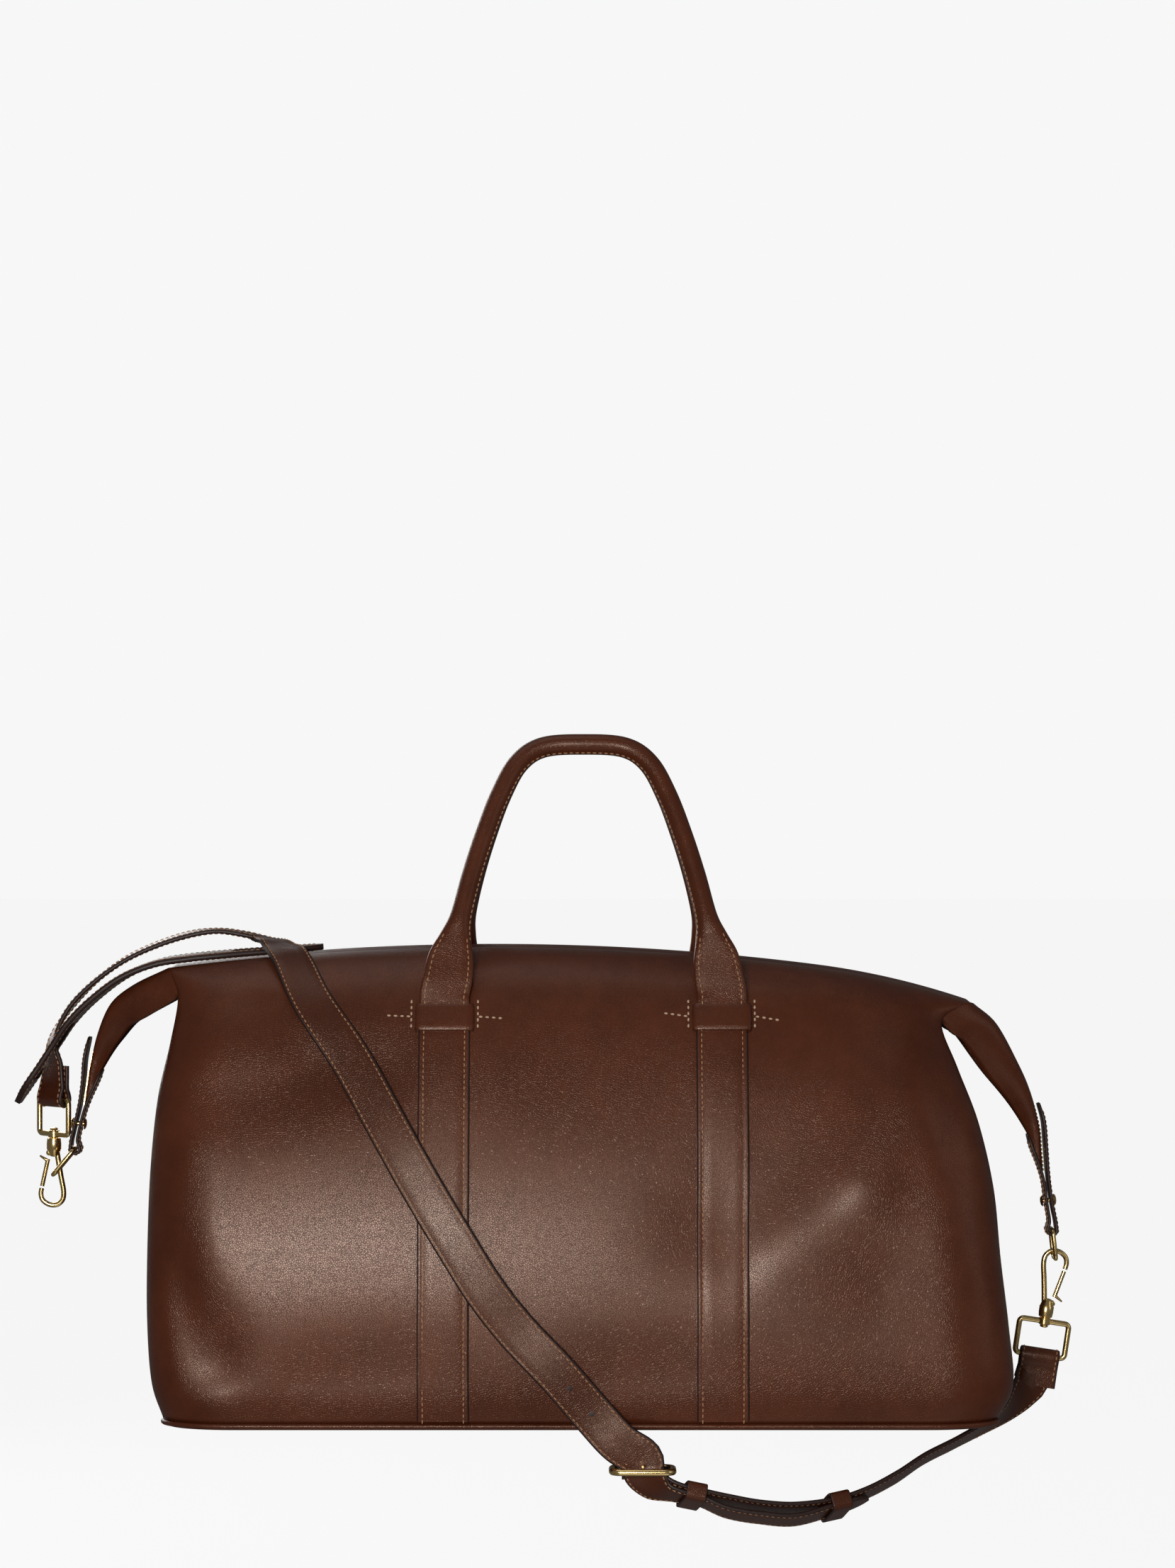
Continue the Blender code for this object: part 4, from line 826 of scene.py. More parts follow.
def strip_outline(half, thick, groove=STITCH_INSET, dip=0.00025):
    """Outline of a flat strip lying on v = 0, its edges rounded and a groove pressed for stitches."""
    reach = thick * 0.42
    turn = [math.radians(-90 + 30 * i) for i in range(7)]
    right = [(half - reach + reach * math.cos(a), thick / 2 * (1 + math.sin(a))) for a in turn]
    top = [(half - groove + 0.0009, thick), (half - groove, thick - dip), (half - groove - 0.0009, thick),
           (half * 0.4, thick)]
    outline = right + top
    outline += [(-u, v) for u, v in reversed(outline)]
    painted = set(range(6)) | set(range(len(outline) - 7, len(outline) - 1))
    return outline, painted


band_outline, band_painted = strip_outline(BAND_HALF, BAND_THICK)
band_seams = []
for side, side_name in ((1, "front"), (-1, "rear")):
    for x, x_name in zip(BAND_X, ("left", "right")):
        top = row_at(x, KEEPER_TOP_Z, side)
        rows = [0.6 + (top - 0.6) * i / 70 for i in range(71)]
        outlines = []
        frames = []
        for v in rows:
            outline = []
            middle, normal = on_wall(v, x, side)
            for a, b in band_outline:
                spot, out = on_wall(v, x + a, side, 0.0001 + b)
                outline.append((a, (spot - middle).dot(normal)))
            outlines.append(outline)
            frames.append((middle, Vector((1, 0, 0)), normal))
        band = sweep(f"{side_name}_{x_name}_band_strap", frames, lambda i, held=outlines: held[i],
                     (body_leather, edge_dark), band_painted)
        settle(band, "bag", "body_leather", f"{side_name}_{x_name}_band")
        for edge in (-1, 1):
            band_seams.append([on_wall(v, x + edge * (BAND_HALF - STITCH_INSET), side,
                                       BAND_THICK + 0.00005)[0] for v in rows[:-3]])
sew("band_stitches", band_seams, "bag", "body_leather")


# Keepers and their stitched crosses -------------------------------------------------------------
# A folded leather loop crosses the top of each band where the handle meets it. Its ends are pulled
# through the wall and held by heavy cream thread, sewn upright at each side and then outwards.
KEEPER_HIGH = 0.0160
keeper_half = BAND_HALF + 0.0026
cross_lines = {"front": [], "rear": []}
for side, side_name in ((1, "front"), (-1, "rear")):
    for x, x_name in zip(BAND_X, ("left", "right")):
        frames, outlines = [], []
        over, wall = BAND_THICK + 0.0030, 0.0020
        for i in range(13):
            t = i / 12
            v = row_at(x, KEEPER_TOP_Z - 0.0003 - KEEPER_HIGH * t, side)
            middle, normal = on_wall(v, x, side)
            frames.append((middle, Vector((1, 0, 0)), normal))
            puff = 0.0007 * (1 - min(1.0, min(t, 1 - t) / 0.12)) ** 2
            outline = []
            for angle in range(180, -1, -15):
                a = math.radians(angle)
                u = math.copysign(abs(math.cos(a)) ** 0.28, math.cos(a)) if angle != 90 else 0.0
                outline.append((u * (keeper_half - puff), (over - puff) * abs(math.sin(a)) ** 0.42))
            outline += [(u * 0.90, max(0.0, b - wall)) for u, b in reversed(outline)]
            outlines.append(outline)
        loop = sweep(f"{side_name}_{x_name}_loop", frames, lambda i, held=outlines: held[i],
                     (body_leather, edge_dark), smooth=50.0)
        settle(loop, "bag", "body_leather", f"{side_name}_{x_name}_keeper")
        for edge in (-1, 1):
            near = x + edge * (keeper_half + 0.0022)
            upright = [on_wall(row_at(near, KEEPER_TOP_Z + 0.0024 - 0.0150 * i / 8, side), near, side,
                               0.0002)[0] for i in range(9)]
            level = KEEPER_TOP_Z - 0.0068
            outward = [on_wall(row_at(near, level - 0.0010 * i / 8 * edge, side),
                               near + edge * 0.0142 * i / 8, side, 0.0002)[0] for i in range(1, 9)]
            cross_lines[side_name] += [upright, outward]
heavy_stitches = repeat_along("keeper_crosses", cross_lines["front"] + cross_lines["rear"], stitch_tree,
                              0.0035, (0.00135, 0.00072, 0.00072), cream_thread, 4)
settle(heavy_stitches, "bag", "body_leather")


# Handles ----------------------------------------------------------------------------------------
# A handle is one strip: flat and stitched where it leaves the keepers, then rolled round a cord
# core and closed by a seam along its inner side. It hinges where it comes out of the keepers.
HANDLE_MIDDLE_X = -0.0025
# Its feet, under the keepers: height, lift off the wall, width, thickness.
HANDLE_FOOT = [(-0.1765, 0.0027, 0.0310, 0.0010), (-0.1690, 0.0032, 0.0315, 0.0022),
               (-0.1615, 0.0050, 0.0315, 0.0036)]
# Its left leg from there to the grip: x, y, z, width, thickness.
HANDLE_LEG = [
    (-0.0885, -0.0734, -0.1490, 0.0313, 0.0044), (-0.0866, -0.0680, -0.1360, 0.0288, 0.0062),
    (-0.0840, -0.0626, -0.1230, 0.0200, 0.0098), (-0.0808, -0.0580, -0.1100, 0.0138, 0.0124),
    (-0.0742, -0.0470, -0.0840, 0.0128, 0.0128), (-0.0660, -0.0360, -0.0580, 0.0126, 0.0128),
    (-0.0565, -0.0255, -0.0330, 0.0126, 0.0128), (-0.0450, -0.0175, -0.0125, 0.0126, 0.0128),
    (-0.0290, -0.0135, -0.0020, 0.0126, 0.0128),
]
# The wall leans in further at the right bands, and the first stations of the right leg follow it.
HANDLE_RIGHT_IN = (0.0034, 0.0018, 0.0006, 0.0, 0.0, 0.0, 0.0, 0.0, 0.0)
feet = [[(*on_wall(row_at(x, z), x, 1, lift)[0], w, t) for z, lift, w, t in HANDLE_FOOT] for x in BAND_X]
right_leg = [(2 * HANDLE_MIDDLE_X - x, y + inward, z, w, t)
             for (x, y, z, w, t), inward in zip(HANDLE_LEG, HANDLE_RIGHT_IN)]
handle_points = (feet[0] + HANDLE_LEG + [(HANDLE_MIDDLE_X, -0.0135, 0.0, 0.0126, 0.0128)]
                 + right_leg[::-1]
                 + feet[1][::-1])
for side, name in ((1, "front_handle"), (-1, "rear_handle")):
    line = [Vector((r[0], r[1] * side, r[2], r[3], r[4])) for r in smooth_rows(handle_points, 220)]
    outward = Vector((0, -side, 0))
    frames, outlines = [], []
    seams = [[], [], [], [], []]
    for i, row in enumerate(line):
        place = Vector(row[:3])
        along = (Vector(line[min(i + 1, 220)][:3]) - Vector(line[max(i - 1, 0)][:3])).normalized()
        across = along.cross(outward).normalized()
        out = across.cross(along).normalized()
        wide, thick = row[3] / 2, row[4] / 2
        rolled = 1 - ease((wide - 0.0072) / 0.0065)
        power = 0.36 + 0.64 * rolled
        inner = 1 if across.x * (HANDLE_MIDDLE_X - place.x) + across.z * (-0.11 - place.z) > 0 else -1
        outline = []
        for k in range(28):
            a = 2 * math.pi * (k + 0.5) / 28
            u = math.copysign(abs(math.cos(a)) ** power, math.cos(a)) * wide
            v = math.copysign(abs(math.sin(a)) ** (0.5 + 0.5 * rolled), math.sin(a)) * thick
            groove = math.exp(-((abs(u) - wide + 0.0034) / 0.0009) ** 2) * 0.0003 * (1 - rolled)
            lip = rolled * math.exp(-((a - (math.pi if inner < 0 else 0)) / 0.30) ** 2) if inner < 0 else (
                rolled * max(math.exp(-(a / 0.30) ** 2), math.exp(-((a - 2 * math.pi) / 0.30) ** 2)))
            outline.append((u + inner * lip * 0.0008, v - math.copysign(groove, v)))
        outlines.append(outline)
        frames.append((place, across, out))
        if rolled < 0.55:
            for seam, edge in ((0, -1), (1, 1)):
                inset = wide - 0.0034 + 0.0012 * rolled
                depth = thick * (1 - abs(inset / wide) ** 4) ** 0.5 if rolled > 0.1 else thick
                spot = place + across * edge * inset + out * (depth + 0.00005)
                seams[seam if place.x < 0 else seam + 2].append(spot)
        else:
            turn = math.radians(26)
            spot = place + (across * inner * math.cos(turn) * (wide + 0.0003)
                            + out * math.sin(turn) * (thick + 0.0001))
            seams[4].append(spot)
    hide = sweep(name + "_hide", frames, lambda i, held=outlines: held[i], (body_leather, edge_dark),
                 smooth=60.0)
    for piece in (hide, repeat_along(name + "_stitches", [s for s in seams if len(s) > 2], stitch_tree,
                                     STITCH_PITCH, (0.00145, 0.00045, 0.00045), tan_thread, 2 + side)):
        if piece is hide:
            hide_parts(name)
        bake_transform(piece)


# Zip --------------------------------------------------------------------------------------------
# A brass zip closes the top and runs down the ridges of both wings: two woven tapes, two rows of
# teeth that mesh in the middle, and a slider with a flat pull lying on the teeth.
ZIP_PITCH = 0.0026
brass_finish = Finish("polished_brass", Metallic=1.0)
tarnish = brass_finish.noise(160.0, 3.0, 0.55)
brass_finish.set(Base_Color=brass_finish.mix(tarnish, (0.92, 0.64, 0.26, 1.0), (1.0, 0.76, 0.36, 1.0)),
                 Roughness=0.16 + 0.14 * tarnish)
brass = brass_finish.material

weave = Finish("zip_weave", Roughness=0.85)
ribs = weave.amount("ShaderNodeTexWave", {"bands_direction": "X"},
                    {"Vector": weave.place, "Scale": 620.0, "Distortion": 0.3}, "Fac")
weave.set(Base_Color=weave.mix(ribs, (0.034, 0.020, 0.014, 1.0), (0.070, 0.044, 0.030, 1.0)),
          Normal=weave.add("ShaderNodeBump", {}, {"Strength": 0.5, "Distance": 0.0003, "Height": ribs}))
tape_cloth = weave.material

_, right_columns, left_columns = panel_strips(front_grid)
zip_edge = ([column[-1] for column in reversed(left_columns[1:])] + front_grid[-1]
            + [column[-1] for column in right_columns[1:]])
zip_edge = [p for i, p in enumerate(zip_edge) if i == 0 or (p - zip_edge[i - 1]).length > 1e-6]
zip_edge = even_rows(zip_edge, 150)
zip_frames = []
for i, p in enumerate(zip_edge):
    along = zip_edge[min(i + 1, 150)] - zip_edge[max(i - 1, 0)]
    along.y = 0.0
    along.normalize()
    zip_frames.append((p, along, Vector((-along.z, 0, along.x))))
for side, side_name in ((1, "front"), (-1, "rear")):
    frames, outlines = [], []
    for p, along, up in zip_frames:
        frames.append((Vector((p.x, 0, p.z)), Vector((0, side, 0)), up))
        outer, inner = p.y + 0.0006, -0.0017
        outlines.append([(outer, -0.0016), (outer, -0.0004), (-0.0045, 0.0), (inner, 0.0003),
                         (inner, -0.0006), (-0.0045, -0.0008)])
    tape = sweep(f"zip_tape_{side_name}_cloth", frames, lambda i, held=outlines: held[i], (tape_cloth,),
                 smooth=50.0)
    settle(tape, "bag", "zip_cloth", "zip_tape_" + side_name)

tooth_tree = repeating_tree("zip_teeth", "GeometryNodeMeshCube", {}, False)
tooth_rows = []
for shift, lane in ((0.0, -0.00105), (0.5, 0.00105)):
    start = ZIP_PITCH * shift
    lane_points = [Vector((p.x, lane, p.z)) + up * 0.0004 for p, along, up in zip_frames]
    first = lane_points[0] + (lane_points[1] - lane_points[0]).normalized() * start
    tooth_rows.append([first] + lane_points[1:])
teeth = repeat_along("zip_teeth", tooth_rows, tooth_tree, ZIP_PITCH, (0.00135, 0.0030, 0.0014), brass, 6)
settle(teeth, "bag", "gold_brass", "zip_chain")


def metal_slab(name, outline, low, high, move, body, node=None, bevel=0.0004):
    """A small plate with softened edges, laid in place by a matrix."""
    size = len(outline)
    verts = [Vector((x, y, z)) for z in (low, high) for x, y in outline]
    faces = [tuple(reversed(range(size))), tuple(range(size, 2 * size))]
    faces += [(i, (i + 1) % size, size + (i + 1) % size, size + i) for i in range(size)]
    mesh = closed_mesh(name, [move @ v for v in verts], faces, 30.0)
    made = link_object(name, mesh, brass)
    soft = made.modifiers.new("soft_edges", "BEVEL")
    soft.width = bevel
    soft.segments = 3
    return settle(made, body, "gold_brass", *([node] if node else []))


def both_sides(half):
    return [(x, -y) for x, y in half] + [(x, y) for x, y in reversed(half)]


SLIDER_X = 0.1500
slope = math.atan((SLIDER_X - TOP_PEAK_X) / TOP_ARCH)
slider_bottom = wall_point(wall_rows[-1], SLIDER_X, 0).z + 0.0016
lay = Matrix.Translation((SLIDER_X, 0, slider_bottom)) @ Matrix.Rotation(slope, 4, "Y")
nose = [(-0.0065, 0.0026), (-0.0035, 0.0036), (0.0040, 0.0045), (0.0058, 0.0040), (0.0065, 0.0026)]
metal_slab("slider_plate", both_sides(nose), 0.0, 0.0016, lay, "zip_slider", "zip_slider")
metal_slab("slider_bridge", both_sides([(-0.0042, 0.0008), (0.0030, 0.0008)]), 0.0014, 0.0019, lay,
           "zip_slider", bevel=0.0002)
pull_lay = lay @ Matrix.Translation((-0.0020, 0, 0.0026))
leaf = [(0.0, 0.0021), (0.0020, 0.0026), (0.0080, 0.0030), (0.0250, 0.0038), (0.0276, 0.0033),
        (0.0290, 0.0020)]
metal_slab("pull_leaf", both_sides(leaf), -0.0007, 0.0007, pull_lay, "zip_pull", "zip_pull")


# Wing tabs, rivets and links --------------------------------------------------------------------
# A dark leather strip is folded round a brass link at the tip of each wing; its two leaves clasp
# the wing, stitched along their edges and held by a domed brass rivet.
TAB_THICK = 0.0019
FOLD_RADIUS = 0.0032
TABS = {
    "right": ([(0.2925, -0.2330), (0.2958, -0.2450), (0.2972, -0.2620), (0.2985, -0.2790),
               (0.3008, -0.2960), (0.3034, -0.3090)], (0.3012, -0.3148),
              [(0.2994, -0.3086), (0.2974, -0.2960), (0.2956, -0.2830), (0.2922, -0.2720),
               (0.2882, -0.2620), (0.2856, -0.2530)]),
    "left": ([(-0.3228, -0.1900), (-0.3258, -0.2040), (-0.3270, -0.2190), (-0.3290, -0.2330),
              (-0.3320, -0.2460), (-0.3345, -0.2565)], (-0.3322, -0.2622),
             [(-0.3306, -0.2562), (-0.3286, -0.2470), (-0.3262, -0.2380), (-0.3230, -0.2295),
              (-0.3186, -0.2200), (-0.3148, -0.2110)]),
}
RIVETS = {"right": ((0.2990, 0.0, -0.2960), (1, 0, 0.10)), "left": ((-0.3302, 0.0, -0.2462), (1, 0, -0.10))}
LINK_ENDS = {"right": (0.3033, -0.3335), "left": (-0.3462, -0.2790)}
LINK_HALF, LINK_CORNER, LINK_WIRE = 0.0100, 0.0035, 0.0014


def turned(name, profile, start, axis, finish, sides=28):
    """A solid of revolution: profile rows are (distance along the axis, radius)."""
    axis = Vector(axis).normalized()
    side = axis.orthogonal().normalized()
    frames = [(Vector(start) + axis * along, side, axis.cross(side)) for along, _ in profile]
    return sweep(name, frames, lambda i: circle(profile[i][1], sides), (finish,), smooth=32.0)


for side_name, (outer, fold, inner) in TABS.items():
    turn_way = -1 if side_name == "right" else 1
    first, last = (math.atan2(outer[-1][1] - fold[1], outer[-1][0] - fold[0]),
                   math.atan2(inner[0][1] - fold[1], inner[0][0] - fold[0]))
    if (last - first) * turn_way < 0:
        last += 2 * math.pi * turn_way
    turn = [(fold[0] + FOLD_RADIUS * math.cos(first + (last - first) * i / 8),
             fold[1] + FOLD_RADIUS * math.sin(first + (last - first) * i / 8)) for i in range(1, 8)]
    path = smooth_rows([(x, 0.0, z) for x, z in list(outer) + turn + list(inner)], 150)
    low_z, high_z = min(p.z for p in path), max(p.z for p in path)
    frames, outlines, seams = [], [], [[], []]
    for i, p in enumerate(path):
        along = (path[min(i + 1, 150)] - path[max(i - 1, 0)]).normalized()
        out = Vector((-along.z, 0, along.x)) * -turn_way
        share = min(1.0, max(0.0, (p.z - low_z) / (high_z - low_z) * 1.5 - 0.15))
        end = min(i, 150 - i) / 14
        round_off = math.sqrt(max(0.0, 1 - (1 - min(1.0, end)) ** 2)) * 0.55 + 0.45
        half = (0.0075 + 0.0035 * share) * round_off
        outline, painted = strip_outline(half, TAB_THICK, 0.0022, 0.0002)
        outlines.append([(u, v - TAB_THICK / 2) for u, v in outline])
        frames.append((p, Vector((0, 1, 0)), out))
        if 5 < i < 145:
            for seam, edge in zip(seams, (-1, 1)):
                seam.append(p + Vector((0, edge * (half - 0.0022), 0)) + out * (TAB_THICK / 2 + 0.00005))
    tab = sweep(side_name + "_tab_strap", frames, lambda i, held=outlines: held[i],
                (strap_leather, edge_dark), painted)
    settle(tab, "bag", "strap_leather", side_name + "_tab")
    sew(side_name + "_tab_stitches", seams, "bag", pitch=0.0030, length=0.0023)

    place, axis = RIVETS[side_name]
    head = [(0.0, 0.0034), (0.0003, 0.0037), (0.0008, 0.0034), (0.0013, 0.0026), (0.0016, 0.0014),
            (0.0017, 0.0002)]
    rivet = turned(side_name + "_rivet", [(-0.0036 - a, r) for a, r in reversed(head)]
                   + [(-0.0036, 0.0015), (0.0036, 0.0015)] + [(0.0036 + a, r) for a, r in head],
                   place, axis, brass)
    settle(rivet, "bag", "gold_brass", side_name + "_tab_rivet")

    top = Vector((fold[0], 0, fold[1]))
    bottom = Vector((LINK_ENDS[side_name][0], 0, LINK_ENDS[side_name][1]))
    down = (bottom - top).normalized()
    length = (bottom - top).length
    loop = []
    for edge, end, start in ((-1, 0, 180), (1, 0, 270), (1, 1, 0), (-1, 1, 90)):
        for i in range(9):
            a = math.radians(start + 11.25 * i)
            sunk = LINK_CORNER if end == 0 else length - LINK_CORNER
            loop.append(top + Vector((0, edge * (LINK_HALF - LINK_CORNER) + LINK_CORNER * math.cos(a), 0))
                        + down * (sunk + LINK_CORNER * math.sin(a)))
    link_ring = sweep(side_name + "_link_ring", frames_along(loop, Vector((down.z, 0, -down.x)), True),
                      circle(LINK_WIRE, 12), (brass,), closed=True)
    settle(link_ring, "bag", "gold_brass", side_name + "_link")


# Rings, swivel hooks and gates ------------------------------------------------------------------
# Cast and polished brass: an oblong ring for the strap, a snap hook that turns in the ring's boss,
# and the hook's sprung gate with a thumb catch.
RING_WIDE, RING_DEEP, RING_CORNER = 0.0322, 0.0225, 0.0028
BOSS_RADIUS, BOSS_HALF, POST_RADIUS = 0.0038, 0.0023, 0.0013
WIRE = 0.0016
HOOK_EYE = [(-0.0020, 0.0120), (-0.0030, 0.0185), (-0.0046, 0.0280), (-0.0062, 0.0370), (-0.0056, 0.0425),
            (-0.0020, 0.0458), (0.0030, 0.0458), (0.0072, 0.0430), (0.0085, 0.0390), (0.0080, 0.0352)]
GATE_TIP, GATE_FOOT = (0.0077, 0.0338), (0.0039, 0.0163)


def fitting(bar, axis, across):
    """Matrix of a ring and hook: x across the ring, z along the hook, from the ring's swivel bar."""
    z = Vector(axis).normalized()
    x = (Vector(across) - z * Vector(across).dot(z)).normalized()
    frame = Matrix((x, z.cross(x), z)).transposed().to_4x4()
    frame.translation = Vector(bar)
    return frame


RIGHT_RING = fitting((0.2967, 0.0, -0.3745), (0.150, 0.0, 0.989), (1, 0, 0))
LEFT_RING = fitting((-0.3462, -0.001, -0.2530), (0.0, 0.0, -1.0), (0.66, -0.75, 0))
LEFT_HOOK = fitting((-0.3462, -0.001, -0.2530), (0.0, 0.0, -1.0), (-1, 0, 0))


def joined(name, *parts):
    """Several pieces of one casting as one object."""
    with bpy.context.temp_override(active_object=parts[0], selected_editable_objects=list(parts)):
        bpy.ops.object.join()
    parts[0].name = name
    return parts[0]


for side_name, ring_frame, hook_frame in (("right", RIGHT_RING, RIGHT_RING), ("left", LEFT_RING, LEFT_HOOK)):
    axis = ring_frame.to_3x3() @ Vector((0, 0, 1))
    wire = []
    for sx, sz, start in ((-1, 0, 90), (-1, -1, 180), (1, -1, 270), (1, 0, 0)):
        cx = sx * (RING_WIDE / 2 - RING_CORNER)
        cz = -RING_CORNER if sz == 0 else -RING_DEEP + RING_CORNER
        wire += [ring_frame @ Vector((cx + RING_CORNER * math.cos(math.radians(start + 11.25 * i)), 0,
                                      cz + RING_CORNER * math.sin(math.radians(start + 11.25 * i))))
                 for i in range(9)]
    ring = sweep("wire", frames_along(wire, ring_frame.to_3x3() @ Vector((0, 1, 0)), True),
                 circle(WIRE + 0.0002, 14), (brass,), closed=True)
    boss = turned("boss", [(-BOSS_HALF, BOSS_RADIUS - 0.0005), (-BOSS_HALF + 0.0006, BOSS_RADIUS),
                           (BOSS_HALF - 0.0006, BOSS_RADIUS), (BOSS_HALF, BOSS_RADIUS - 0.0005)],
                  ring_frame.translation, axis, brass)
    settle(joined(side_name + "_strap_ring", ring, boss), "bag", "gold_brass", side_name + "_ring")

    axis = hook_frame.to_3x3() @ Vector((0, 0, 1))
    flat = hook_frame.to_3x3() @ Vector((0, 1, 0))
    low, high = -BOSS_HALF - 0.0003, BOSS_HALF + 0.0003
    post = turned("post", [(low - 0.0016, 0.0012), (low - 0.0012, 0.0024), (low - 0.0004, 0.0027),
                           (low, 0.0025), (low, POST_RADIUS), (high, POST_RADIUS),
                           (high, 0.0038), (high + 0.0005, 0.0044),
                           (0.0060, 0.0047), (0.0096, 0.0047), (0.0104, 0.0043), (0.0130, 0.0036),
                           (0.0142, 0.0028), (0.0147, 0.0014)], hook_frame.translation, axis, brass)
    eye_path = smooth_rows([hook_frame @ Vector((x, 0, z)) for x, z in HOOK_EYE], 64)
    eye = sweep("eye", frames_along(eye_path, flat),
                lambda i: circle(WIRE * (1.12 - 0.12 * i / 64), 14), (brass,))
    ear = turned("ear", [(-0.0024, 0.0014), (-0.0021, 0.0019), (0.0021, 0.0019), (0.0024, 0.0014)],
                 hook_frame @ Vector((0.0030, 0, 0.0120)), flat, brass)
    settle(joined(side_name + "_snap_hook", post, eye, ear), side_name + "_hook", "gold_brass",
           side_name + "_hook")

    foot = Vector((GATE_FOOT[0], 0, GATE_FOOT[1]))
    tip = Vector((GATE_TIP[0], 0, GATE_TIP[1]))
    gate_path = [hook_frame @ foot.lerp(tip, i / 12) for i in range(13)]
    gate = sweep("gate", frames_along(gate_path, flat), circle(WIRE - 0.0002, 12), (brass,))
    catch_end = foot + Vector((0.0052, 0, -0.0022))
    catch_path = [hook_frame @ (foot + Vector((0, 0, 0.0012))).lerp(catch_end, i / 6) for i in range(7)]
    catch = sweep("catch", frames_along(catch_path, flat),
                  lambda i: [(u * (1 - 0.09 * i), v * (1 + 0.06 * i)) for u, v in circle(0.0012, 12)],
                  (brass,))
    settle(joined(side_name + "_snap_gate", gate, catch), side_name + "_gate", "gold_brass",
           side_name + "_gate")


# Shoulder strap ---------------------------------------------------------------------------------
# Two dark leather straps, stitched along both edges, are joined by the buckle: the long one comes
# from the left ring over the pad and down the front; the short one comes from the right ring.
STRAP_HALF, STRAP_THICK = 0.0132, 0.0028
STRAP_INSET = 0.0022
OVER_WING = [
    (-0.3465, -0.0010, -0.2080, -0.50, 0.87, 0.0), (-0.3472, -0.0010, -0.1960, -0.30, 0.95, 0.0),
    (-0.3430, -0.0020, -0.1830, -0.12, 0.99, 0.0), (-0.3330, -0.0030, -0.1680, 0.0, 1.0, 0.0),
    (-0.3180, -0.0040, -0.1530, 0.0, 1.0, 0.03), (-0.2990, -0.0050, -0.1395, 0.0, 1.0, 0.05),
    (-0.2785, -0.0050, -0.1300, 0.0, 1.0, 0.05), (-0.2580, -0.0050, -0.1235, 0.0, 1.0, 0.05),
    (-0.2400, -0.0050, -0.1212, 0.0, 1.0, 0.0), (-0.2240, -0.0050, -0.1230, 0.04, 1.0, 0.0),
    (-0.2100, -0.0065, -0.1262, 0.10, 0.99, 0.0), (-0.1990, -0.0240, -0.1290, 0.34, 0.93, 0.06),
    (-0.1890, -0.0500, -0.1378, 0.56, 0.70, 0.34),
]
DOWN_FRONT = [(-0.1745, -0.1640), (-0.1490, -0.2005), (-0.1242, -0.2434), (-0.1044, -0.2776),
              (-0.0846, -0.3100), (-0.0644, -0.3419), (-0.0446, -0.3671), (-0.0198, -0.3932),
              (0.0027, -0.4193), (0.0190, -0.4370)]
STACK = [
    (0.0365, -0.1180, -0.4590, 0.98, -0.15, 0.10), (0.0440, -0.1175, -0.4650, 0.75, -0.60, 0.30),
    (0.0560, -0.1165, -0.4690, 0.25, -0.90, 0.36), (0.0700, -0.1150, -0.4722, 0.0, -0.93, 0.37),
    (0.0880, -0.1125, -0.4765, 0.0, -0.93, 0.37), (0.1080, -0.1095, -0.4805, 0.0, -0.93, 0.37),
    (0.1300, -0.1045, -0.4825, 0.0, -0.93, 0.37), (0.1550, -0.0975, -0.4805, 0.0, -0.93, 0.37),
    (0.1760, -0.0900, -0.4750, 0.0, -0.93, 0.37), (0.1960, -0.0795, -0.4665, 0.0, -0.93, 0.37),
    (0.2150, -0.0660, -0.4565, 0.0, -0.94, 0.34),
]
TO_RIGHT_RING = [
    (0.2345, -0.0500, -0.4470, -0.05, -0.95, 0.30), (0.2520, -0.0340, -0.4400, -0.15, -0.95, 0.25),
    (0.2680, -0.0180, -0.4320, -0.35, -0.90, 0.20), (0.2810, -0.0070, -0.4210, -0.70, -0.68, 0.20),
    (0.2890, -0.0020, -0.4120, -0.93, -0.30, 0.17),
]
STACK_SPACE = 0.0019
BUCKLE_CENTRE = (0.0344, -0.1220, -0.4543)
BUCKLE_WIDE, BUCKLE_DEEP, BUCKLE_WIRE = 0.0380, 0.0240, 0.0021


def fold_round(bar, toward, across, leg):
    """Route of a strap's end folded round a bar, from its short leg to its long one."""
    centre, d = Vector(bar), Vector(toward).normalized()
    w = (Vector(across) - d * Vector(across).dot(d)).normalized()
    n = d.cross(w)
    r, half = WIRE + 0.0006 + STRAP_THICK / 2, STRAP_THICK / 2 + 0.0004
    flat = [(leg, -half), (leg * 0.7, -half), (0.0075, -half), (0.0035, -r * 0.85), (0.0, -r),
            (-r * 0.7, -r * 0.7), (-r, 0.0), (-r * 0.7, r * 0.7), (0.0, r), (0.0035, r * 0.85),
            (0.0075, half), (0.0120, half)]
    return [tuple(centre + d * u + n * v) + tuple(w) for u, v in flat]


def stack_at(shift, bulge=0.0):
    """The route past the buckle moved outwards (+) or inwards (-), with a slack bulge."""
    rows = []
    for i, row in enumerate(STACK):
        after, before = STACK[min(i + 1, len(STACK) - 1)], STACK[max(i - 1, 0)]
        along = (Vector(after[:3]) - Vector(before[:3])).normalized()
        across = Vector(row[3:6]).normalized()
        slack = bulge if 0.085 < row[0] < 0.135 else 0.0
        rows.append(tuple(Vector(row[:3]) + along.cross(across).normalized() * (shift + slack))
                    + tuple(across))
    return rows


# Stitches stand a little proud of the strap, but lie pulled in where the keepers slide over them.
STITCH_PROUD, STITCH_PULLED_IN = 0.00005, 0.00030
KEEPERS_FROM_X, KEEPERS_BELOW_Z = 0.055, -0.44


